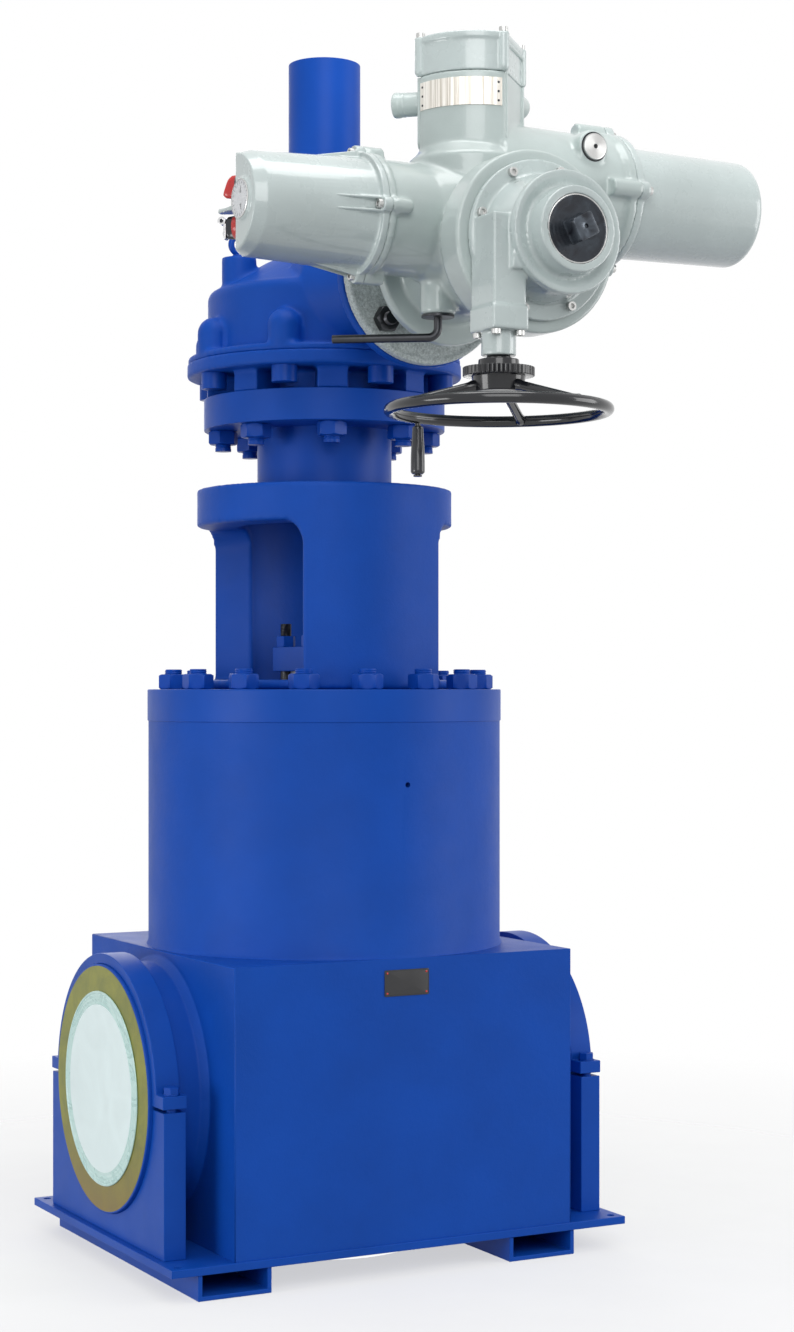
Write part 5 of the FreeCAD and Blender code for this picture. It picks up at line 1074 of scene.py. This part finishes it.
def hood():
    """Wedge on the shield between the selectors: height H (1 - u)^1.2 over a narrowing tongue."""
    u = np.linspace(0, 1, 12)[:, None]
    t = np.linspace(0, math.pi, 13)[None]
    along = np.array((1.0, 1.0, 0.0)) / math.sqrt(2)
    wide = 0.023 - 0.015 * u
    across = wide * np.cos(t) ** 3 * 0.15 + wide * np.cos(t) * 0.85 - 0.003 * (1 - u)
    rise = 0.0015 + 0.0125 * (1 - u) ** 1.2 * np.sin(t) ** 0.5
    out = np.broadcast_to(-0.002 + 0.050 * u, rise.shape)
    foot = FACET - (0, 0, 0.0052)
    rows = foot + FACET_OUT * out[..., None] + along * across[..., None]
    rows[..., 2] += rise
    low = rows[:, [-1, 0]] - (0, 0, 0.0042)
    piece("hood", capped(np.concatenate([rows, low], axis=1)), look="grey_cover")


def cover_ribs():
    """Thin ribs from each lobe: axis + out c(k, a) + side v(a), the crest sinking into the cover."""
    k = np.linspace(0, 1, 16)[:, None]
    a = np.linspace(0, math.pi, 9)
    half = 0.0022
    v = np.concatenate([[0.0042], half * np.cos(a), [-0.0042]])[None]
    surface = 0.1020 - 0.0037 * k
    crest = surface + 0.0150 * (1 - k) - half + half * np.sin(a)[None]
    r = np.concatenate([surface - 0.005, crest, surface - 0.005], axis=1)
    made = []
    for turn in angles(4):
        out = np.array((0.0, math.cos(turn), math.sin(turn)))
        side = np.array((0.0, -math.sin(turn), math.cos(turn)))
        for offset in (-0.0115, 0.0115):
            rows = CONTROL_AXIS + out * r[..., None] + side * (v + offset)[..., None]
            rows[..., 0] = -0.250 - 0.098 * k
            made.append(capped(rows))
    piece("cover_ribs", join(*made), look="grey_cover")


def tower_frames():
    """Raised bead round the flat panel on either side of the tower, parted at the lid's seam."""
    made = []
    width = tower_point(1, 0, 0) - tower_point(0, 0, 0)
    for side in (-1, 1):
        for seam, far in ((TOWER_SEAM - 0.0015, TOWER_FLARE), (TOWER_SEAM + 0.0015, LID_PLATE - 0.006)):
            corners = [(0.0535, seam), (0.0535, far), (-0.072, far), (-0.072, seam)]
            out, z = rounded(corners, 0.012, 8).T
            path = tower_point(np.full(len(out), side * TOWER_HALF), out, z)
            made.append(tube(path, 0.0042, 14, near=width))
    piece("tower_frames", join(*made), look="grey_housing")


def hub_plug():
    """Black plug with a bright rim, a dished face and a square boss with a centre hole."""
    spot, axis = (0, -0.998, INPUT_Z), (0, -1, 0)
    flat, outer = 0.0575, 0.0617
    r = np.linspace(0, flat, 30)
    dish = np.stack([r, -0.0022 + 0.0016 * (r / flat) ** 6 + 0.00007 * np.sin(r * 2400.0)], 1)
    edge = [(flat, -0.0006), (0.0600, 0.0006), (outer, 0.0), (outer, -0.012), (0, -0.012)]
    disc = lathe(np.concatenate([dish, rounded(edge, 0.0008)]))
    # The disc and boss carry pale patches, partly wear and partly painted sheen
    piece("plug_disc", place(disc, spot, axis), "hub_plug", "plug_black")
    rim = [(0.0590, 0.0002), (0.0612, 0.0008), (outer, 0.0), (0.0604, -0.001)]
    piece("plug_rim", place(turned(rim, 0.0003, ring=True), spot, axis), look="screw_steel")
    half, tall = 0.0212, 0.029
    sides = [(1.12, 8.0, -0.003), (1.03, 9.0, 0.001), (1.0, 10.0, 0.004), (1.0, 10.0, tall - 0.0016),
             (0.97, 9.0, tall - 0.0004), (0.92, 8.0, tall)]
    hole = [(0.0085, 0.0), (0.0062, 0.0008), (0.0042, 0.0012), (0.0036, 0.006), (0.0, 0.0075)]
    rows = [(0.0, -0.003)]
    rows += [(squarish(half * by, half * by, power), h) for by, power, h in sides]
    rows += [(radius, tall - depth) for radius, depth in hole]
    boss = scatter(blended(rows, 72), [(0, 0, 0)], [math.radians(28)])
    piece("plug_boss", place(boss, spot, axis), look="rubbed_black")


def hub_notches(t, r):
    """Depth of the hub's notches, 2.6 mm |cos 24 t|^6, past a radius of 60 mm."""
    return 0.0026 * np.abs(np.cos(24 * t)) ** 6 * np.clip((r - 0.060) / 0.003, 0, 1)


def handwheel():
    """Hub with a finely notched disc, three spokes with weld collars, a rim and the grip's pin."""
    lo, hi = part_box("handwheel")
    centre = ((lo[0] + hi[0]) / 2, (lo[1] + hi[1]) / 2, 0)
    top, rim_z, rim_r = float(hi[2]), INPUT_Z - 0.315, 0.194
    bottom, low, high, collar, spigot = (INPUT_Z - d for d in (0.284, 0.256, 0.240, 0.226, 0.2203))
    hub = [(0, bottom), (0.0445, bottom), (0.0450, bottom + 0.005), (0.0480, low), (0.0640, low),
           (0.0640, high), (0.0370, high), (0.0360, collar), (0.0220, collar), (0.0215, spigot),
           (0.0138, spigot), (0.0138, top), (0, top)]
    rim = around(np.full((1, 180), rim_r), np.array([rim_z]))[0]
    made = [lathe(rounded(hub, 0.0016, 5), 384, hub_notches), tube(rim, 0.0104, 24, closed=True)]
    k = np.linspace(0, 1, 24)
    weld = sum(np.exp(-((k * 0.160 - at) / 0.006) ** 2) for at in (0.012, 0.152))
    reach, drop = 0.034 + k * 0.158, INPUT_Z - 0.271 - 0.0435 * k
    for turn in np.radians((47.0, 167.0, 287.0)):
        spoke = np.stack([reach * np.cos(turn), reach * np.sin(turn), drop], -1)
        made.append(tube(spoke, 0.0088 + 0.0022 * weld, 20))
    pin = [(0, -0.107), (0.008, -0.107), (0.008, -0.1035), (0.0049, -0.1035), (0.0049, -0.003),
           (0, -0.003)]
    a = math.radians(109)
    made.append(place(turned(pin, 0.0008, 32), (rim_r * math.cos(a), rim_r * math.sin(a), rim_z)))
    points, faces = join(*made)
    piece("handwheel_ring", (points + centre, faces), "handwheel")


def grip():
    """Turned grip r(s) = 10 + 2.9 sin(1.25 (1 - s) pi / 2)^1.5 mm, drawn in at both ends, on a bore."""
    lo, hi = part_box("handwheel_grip")
    foot = ((lo[0] + hi[0]) / 2, (lo[1] + hi[1]) / 2, lo[2])
    tall = float(hi[2] - lo[2])
    s = np.linspace(0, 1, 40)
    swell = 0.0100 + 0.0029 * np.sin(np.clip(1.25 * (1 - s), 0, 1) * math.pi / 2) ** 1.5
    swell -= 0.0030 * (np.clip(1 - s / 0.05, 0, 1) ** 2 + np.clip((s - 0.96) / 0.04, 0, 1) ** 2)
    profile = np.concatenate([np.stack([swell, s * tall], 1), [(0.0053, tall), (0.0053, 0.0)]])
    piece("grip", place(lathe(profile, 48, ring=True), foot), "handwheel_grip")


def oil_plug(lo, hi):
    """Grooved plug with a dark centre hole, in a dark gap; two thin black discs, one wider than the plug
    behind its rim and one at the foot of its hole, are painted shade.
    """
    axis = (0, -1, 0)
    spot = (lo + hi) / 2
    spot[1] = lo[1] + 0.006
    radius = float(hi[2] - lo[2]) / 2
    r = np.linspace(0.0048, radius * 0.9, 60)
    face = np.stack([r, 0.006 + 0.00016 * np.sin(r * 2600.0)], 1)
    hollow = [(0, 0.0005), (0.0042, 0.0005), (0.0044, 0.0055)]
    shoulder = [(radius * 0.97, 0.0052), (radius, 0.0036), (radius, 0.0), (0, 0.0)]
    plug = lathe(np.concatenate([hollow, face, shoulder]))
    piece("oil_plug", place(plug, spot, axis), "actuator_plugs")
    # Painted shade: a black disc a little wider than the plug for the shaded gap round it, and one at the
    # foot of its hole
    wide = radius + 0.0030
    gap = turned([(0, 0.0003), (wide, 0.0003), (wide, -0.001), (0, -0.001)], 0.0002)
    hole = turned([(0, 0.0012), (0.0041, 0.0012), (0.0041, 0.0), (0, 0.0)], 0.0002, 24)
    piece("oil_plug_gap", place(join(gap, hole), spot, axis), look="black_plastic")


def plugs():
    """The oil plug, and painted round caps in the cable entries."""
    lo, hi = solids("actuator_plugs")
    oil = int(np.argmin(lo[:, 2]))
    oil_plug(lo[oil], hi[oil])
    cap = turned([(0, -0.034), (0.0232, -0.034), (0.0232, -0.022), (0.0242, -0.020),
                  (0.0242, -0.008), (0, -0.008)], 0.006, 64, steps=8)
    made = []
    for low, high in zip(np.delete(lo, oil, axis=0), np.delete(hi, oil, axis=0)):
        centre = (low + high) / 2
        way = unit((-1.0, 1.0, 0.0) if centre[0] < TOWER[0] else (1.0, 1.0, 0.0))
        end = np.where(way[:2] > 0, high[:2], low[:2])
        made.append(place(cap, centre + way * float((end - centre[:2]) @ way[:2]), way))
    piece("conduit_caps", join(*made), look="grey_housing")


def stem():
    """Stem with a plain shank and a trapezoidal thread r(t, h) = R - d clip(1.6 w - 0.3, 0, 1)."""
    s = shapes()
    lo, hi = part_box("stem")
    radius, foot_top = float(hi[0] - lo[0]) / 2, lo[2] + 0.062
    start, high = 1.400, float(hi[2])
    rows = int((high - start) / s.stem_pitch * 12)
    h = np.concatenate([[lo[2] + 0.061, start - 0.002], np.linspace(start, high, rows)])
    wave = np.clip(1.6 * thread_wave(h, s.stem_pitch, 64) - 0.3, 0, 1)
    wave *= np.clip((h[:, None] - start) / 0.02, 0, 1)
    tip = radius - 0.005 + (high - h)[:, None]
    rod = capped(around(np.minimum(radius - 0.0001 - s.stem_thread * wave, tip), h))
    foot = turned([(0, lo[2]), (0.030, lo[2]), (0.030, foot_top), (0, foot_top)], 0.001, 64)
    piece("stem_rod", join(rod, foot), "stem")


def adapter_bolts():
    """Hex heads with a washer and a round threaded end, along the input axis."""
    lo, hi = solids("adapter_bolts")
    spots = (lo + hi) / 2
    spots[:, 1] = lo[:, 1] + 0.022
    rest = np.arange(len(lo)) * BOLT_STEP
    bore, low, high = 0.0138, -0.0028, -0.0002
    head = nut(flats=0.046, height=0.020, bore=bore)
    washer = turned([(bore, low), (0.029, low), (0.029, high), (bore, high)], 0.0005, 48, ring=True)
    end = threaded(0.0137, low=-0.030, high=0.031, start=0.008, pitch=0.0025, depth=0.0009)
    bolts = scatter(join(head, washer, end), spots, rest, (0, -1, 0))
    piece("adapter_bolt_set", bolts, "adapter_bolts")


# Operators


class VALVE_OT_base(bpy.types.Operator):
    """Builds the skid and the pipe cradles"""

    bl_idname = "valve.base"
    bl_label = "Skid and cradles"

    def execute(self, context):
        for node in ("skid_plate", "skid_runner_left", "skid_runner_right", "cradle_saddle_inlet",
                     "cradle_cap_inlet", "cradle_saddle_outlet", "cradle_cap_outlet"):
            machined(node, shapes().edge)
        machined("cradle_bolts", BOLT_EDGE)
        return {"FINISHED"}


class VALVE_OT_body(bpy.types.Operator):
    """Builds the pressure body, the ring flange and their bolting"""

    bl_idname = "valve.body"
    bl_label = "Body and ring flange"

    def execute(self, context):
        s = shapes()
        machined("valve_body", s.block_edge, core=NECK_FOOT_R)
        machined("bonnet_ring", s.edge)
        nuts_and_studs("bonnet", STUD_NUT, s.stud_pitch, s.stud_thread)
        end_cap("inlet", -1)
        end_cap("outlet", 1)
        nameplate()
        return {"FINISHED"}


class VALVE_OT_yoke(bpy.types.Operator):
    """Builds the yoke, the column, the gland and the stem"""

    bl_idname = "valve.yoke"
    bl_label = "Yoke, gland and stem"

    def execute(self, context):
        s = shapes()
        cast("yoke", voxel=0.0055, rounds=s.rounds)
        machined("yoke_column", s.edge)
        machined("gland_flange", s.edge)
        nuts_and_studs("column", STUD_NUT, s.stud_pitch, s.stud_thread)
        nuts_and_studs("gland", flats=0.036, pitch=0.003, depth=0.001)
        stem()
        return {"FINISHED"}


class VALVE_OT_gearbox(bpy.types.Operator):
    """Builds the gearbox castings, its bolts, the lifting eye and the stem cover"""

    bl_idname = "valve.gearbox"
    bl_label = "Gearbox"

    def execute(self, context):
        s = shapes()
        cast("gearbox_base", s.voxel, s.rounds)
        cast("gearbox_housing", s.voxel * 1.15, s.rounds)
        cast("lifting_eye", voxel=0.0011, rounds=6)
        machined("gearbox_bolts", BOLT_EDGE)
        machined("stem_cover_tube", s.edge)
        adapter_bolts()
        cast("adapter_flange", voxel=0.0032, rounds=5, look="sand_cast")
        return {"FINISHED"}


class VALVE_OT_actuator(bpy.types.Operator):
    """Builds the actuator housing and its covers"""

    bl_idname = "valve.actuator"
    bl_label = "Actuator"

    def execute(self, context):
        s = shapes()
        cast("actuator_housing", voxel=0.0044, rounds=s.rounds)
        cast("control_cover", voxel=0.0023, rounds=3)
        cast("motor_housing", voxel=0.0034, rounds=4)
        cast("terminal_cover", voxel=0.0024, rounds=4)
        cast("hand_gear_cover", voxel=s.fine_voxel, rounds=6)
        machined("actuator_screws", width=0.0006)
        machined("rating_band", width=0.0004, look="brushed_band")
        plugs()
        band_rivets()
        tower_frames()
        cover_ribs()
        display()
        return {"FINISHED"}


class VALVE_OT_selectors(bpy.types.Operator):
    """Builds the two selectors and the locking hasp"""

    bl_idname = "valve.selectors"
    bl_label = "Selectors"

    def execute(self, context):
        rise = np.array((0, 0, KNOB_RISE))
        knob("mode", FACET + rise, "black_plastic", base=0.014, reach=0.036, lean=0.35)
        knob("control", FACET - rise, "red_plastic", base=0.020, reach=0.036, lean=0.0)
        hasp()
        hood()
        return {"FINISHED"}


class VALVE_OT_handwheel(bpy.types.Operator):
    """Builds the handwheel, its grip, the hub plug and the declutch lever"""

    bl_idname = "valve.handwheel"
    bl_label = "Handwheel and lever"

    def execute(self, context):
        handwheel()
        grip()
        hub_plug()
        cast("declutch_lever", voxel=0.0014, rounds=4)
        machined("declutch_plate", width=0.0008)
        return {"FINISHED"}


class VALVE_OT_carried(bpy.types.Operator):
    """Gives every CAD node that is still shown the finish of its slot"""

    bl_idname = "valve.carried"
    bl_label = "Carried nodes"

    def execute(self, context):
        for node, obj in NODES.items():
            if not obj.hide_render:
                obj.data.materials.clear()
                obj.data.materials.append(finish(SLOTS[node]))
        return {"FINISHED"}


def pale_floor():
    """A round floor under the skid that fades out with distance from the stem."""
    rings = np.linspace(0, 3.4, 18)[1:]
    points, faces = lathe(np.stack([rings, np.full(len(rings), -0.0005)], 1), 64)
    mesh = bpy.data.meshes.new("floor")
    mesh.from_pydata(points.tolist(), [], faces.tolist())
    floor = bpy.data.objects.new("floor", mesh)
    bpy.context.scene.collection.objects.link(floor)
    material, g = fresh("pale_floor")
    at = g.place()
    x, y = g.part(at, 0), g.part(at, 1)
    fade = 1.0 - ((x * x + y * y) ** 0.5).between(1.0, 2.8)
    cloud = g.noise(at, 3.0, 4.0).between(0.3, 0.7)
    g.surface({
        "Base Color": g.mix(cloud, (0.90, 0.90, 0.905), (0.94, 0.94, 0.945)),
        "Roughness": 0.75 + g.noise(at, 8.0) * 0.1,
        "Alpha": fade * 0.42,
    })
    mesh.materials.append(material)


def light(name, spot, aim, width, height, power):
    """A soft rectangular light that looks at a point."""
    data = bpy.data.lights.new(name, "AREA")
    data.shape = "RECTANGLE"
    data.size, data.size_y, data.energy = width, height, power
    lamp = bpy.data.objects.new(name, data)
    lamp.location = spot
    lamp.rotation_euler = (Vector(aim) - Vector(spot)).to_track_quat("-Z", "Y").to_euler()
    bpy.context.scene.collection.objects.link(lamp)


def pale_room(level):
    """A world that lights the valve softly from above and is plain white where a ray sees it."""
    world = bpy.data.worlds.new("pale_room")
    bpy.context.scene.world = world
    world.use_nodes = True
    g = Graph(world.node_tree)
    rise = g.part(g.place("Generated"), 2).between(-0.4, 0.9)
    room = g.mix(rise, (0.30, 0.32, 0.35), (1.0, 1.0, 1.0))
    path = g.tree.nodes.new("ShaderNodeLightPath")
    camera, glossy, through = (
        Value(g, path.outputs[f"Is {kind} Ray"]) for kind in ("Camera", "Glossy", "Transmission")
    )
    seen = (camera + glossy + through).between(0.0, 1.0)
    plain = g.add("ShaderNodeBackground", None, {"Color": (1, 1, 1, 1), "Strength": 1.0})
    soft = g.add("ShaderNodeBackground", None, {"Color": room, "Strength": level})
    both = g.add("ShaderNodeMixShader", None, {0: seen, 1: soft, 2: plain})
    g.add("ShaderNodeOutputWorld", None, {"Surface": both})


def stand_camera(lens):
    """The camera at the place from which the photograph was taken."""
    data = bpy.data.cameras.new("camera")
    data.lens = lens
    data.sensor_width = 36.0
    data.shift_y = 0.0178
    data.clip_end = 50.0
    camera = bpy.data.objects.new("camera", data)
    camera.location = (-2.3087, -4.6277, 1.1610)
    camera.rotation_euler = (math.pi / 2, 0.0, math.radians(-28.217))
    bpy.context.scene.collection.objects.link(camera)
    bpy.context.scene.camera = camera


class VALVE_OT_stage(bpy.types.Operator):
    """Lays the floor, hangs the lights and sets the camera"""

    bl_idname = "valve.stage"
    bl_label = "Stage"

    def execute(self, context):
        s = context.scene.valve_stage
        pale_floor()
        for name, spot, aim, width, height in (
            ("key", (-1.9, -4.4, 3.2), (0, 0, 1.1), 2.6, 3.2),
            ("fill", (3.6, -2.6, 1.9), (0, 0, 1.2), 2.2, 3.0),
            ("top", (-0.2, -0.9, 3.7), (0, -0.4, 2.0), 1.5, 1.0),
            ("back", (1.6, 4.4, 2.6), (0, 0.2, 1.2), 2.4, 2.4),
            ("side", (-4.2, -0.6, 0.9), (-0.3, 0, 0.4), 2.0, 1.6),
        ):
            light(name, spot, aim, width, height, getattr(s, name))
        pale_room(s.ambient)
        stand_camera(s.lens)
        context.scene.view_settings.view_transform = "Standard"
        return {"FINISHED"}


OPERATORS = (
    VALVE_OT_base,
    VALVE_OT_body,
    VALVE_OT_yoke,
    VALVE_OT_gearbox,
    VALVE_OT_actuator,
    VALVE_OT_selectors,
    VALVE_OT_handwheel,
    VALVE_OT_carried,
    VALVE_OT_stage,
)


class VALVE_PT_panel(bpy.types.Panel):
    """The valve's operators and settings"""

    bl_label = "Motorized gate valve"
    bl_space_type = "VIEW_3D"
    bl_region_type = "UI"
    bl_category = "Valve"

    def draw(self, context):
        for operator in OPERATORS:
            self.layout.operator(operator.bl_idname)
        for group in ("valve_shapes", "valve_paint", "valve_stage"):
            settings = getattr(context.scene, group)
            for key in settings.__annotations__:
                self.layout.prop(settings, key)


GROUPS = (
    ("valve_shapes", ValveShapes),
    ("valve_paint", ValvePaint),
    ("valve_stage", ValveStage),
)


def register():
    """Adds the settings, operators and panel."""
    for key, group in GROUPS:
        bpy.utils.register_class(group)
        setattr(bpy.types.Scene, key, PointerProperty(type=group))
    for operator in (*OPERATORS, VALVE_PT_panel):
        bpy.utils.register_class(operator)


def unregister():
    """Takes the settings, operators and panel away."""
    for operator in (VALVE_PT_panel, *reversed(OPERATORS)):
        bpy.utils.unregister_class(operator)
    for key, group in reversed(GROUPS):
        delattr(bpy.types.Scene, key)
        bpy.utils.unregister_class(group)


def main():
    """Builds every piece in order."""
    register()
    bpy.ops.valve.base()
    bpy.ops.valve.body()
    bpy.ops.valve.yoke()
    bpy.ops.valve.gearbox()
    bpy.ops.valve.actuator()
    bpy.ops.valve.selectors()
    bpy.ops.valve.handwheel()
    bpy.ops.valve.carried()
    bpy.ops.valve.stage()


if __name__ == "__main__":
    main()
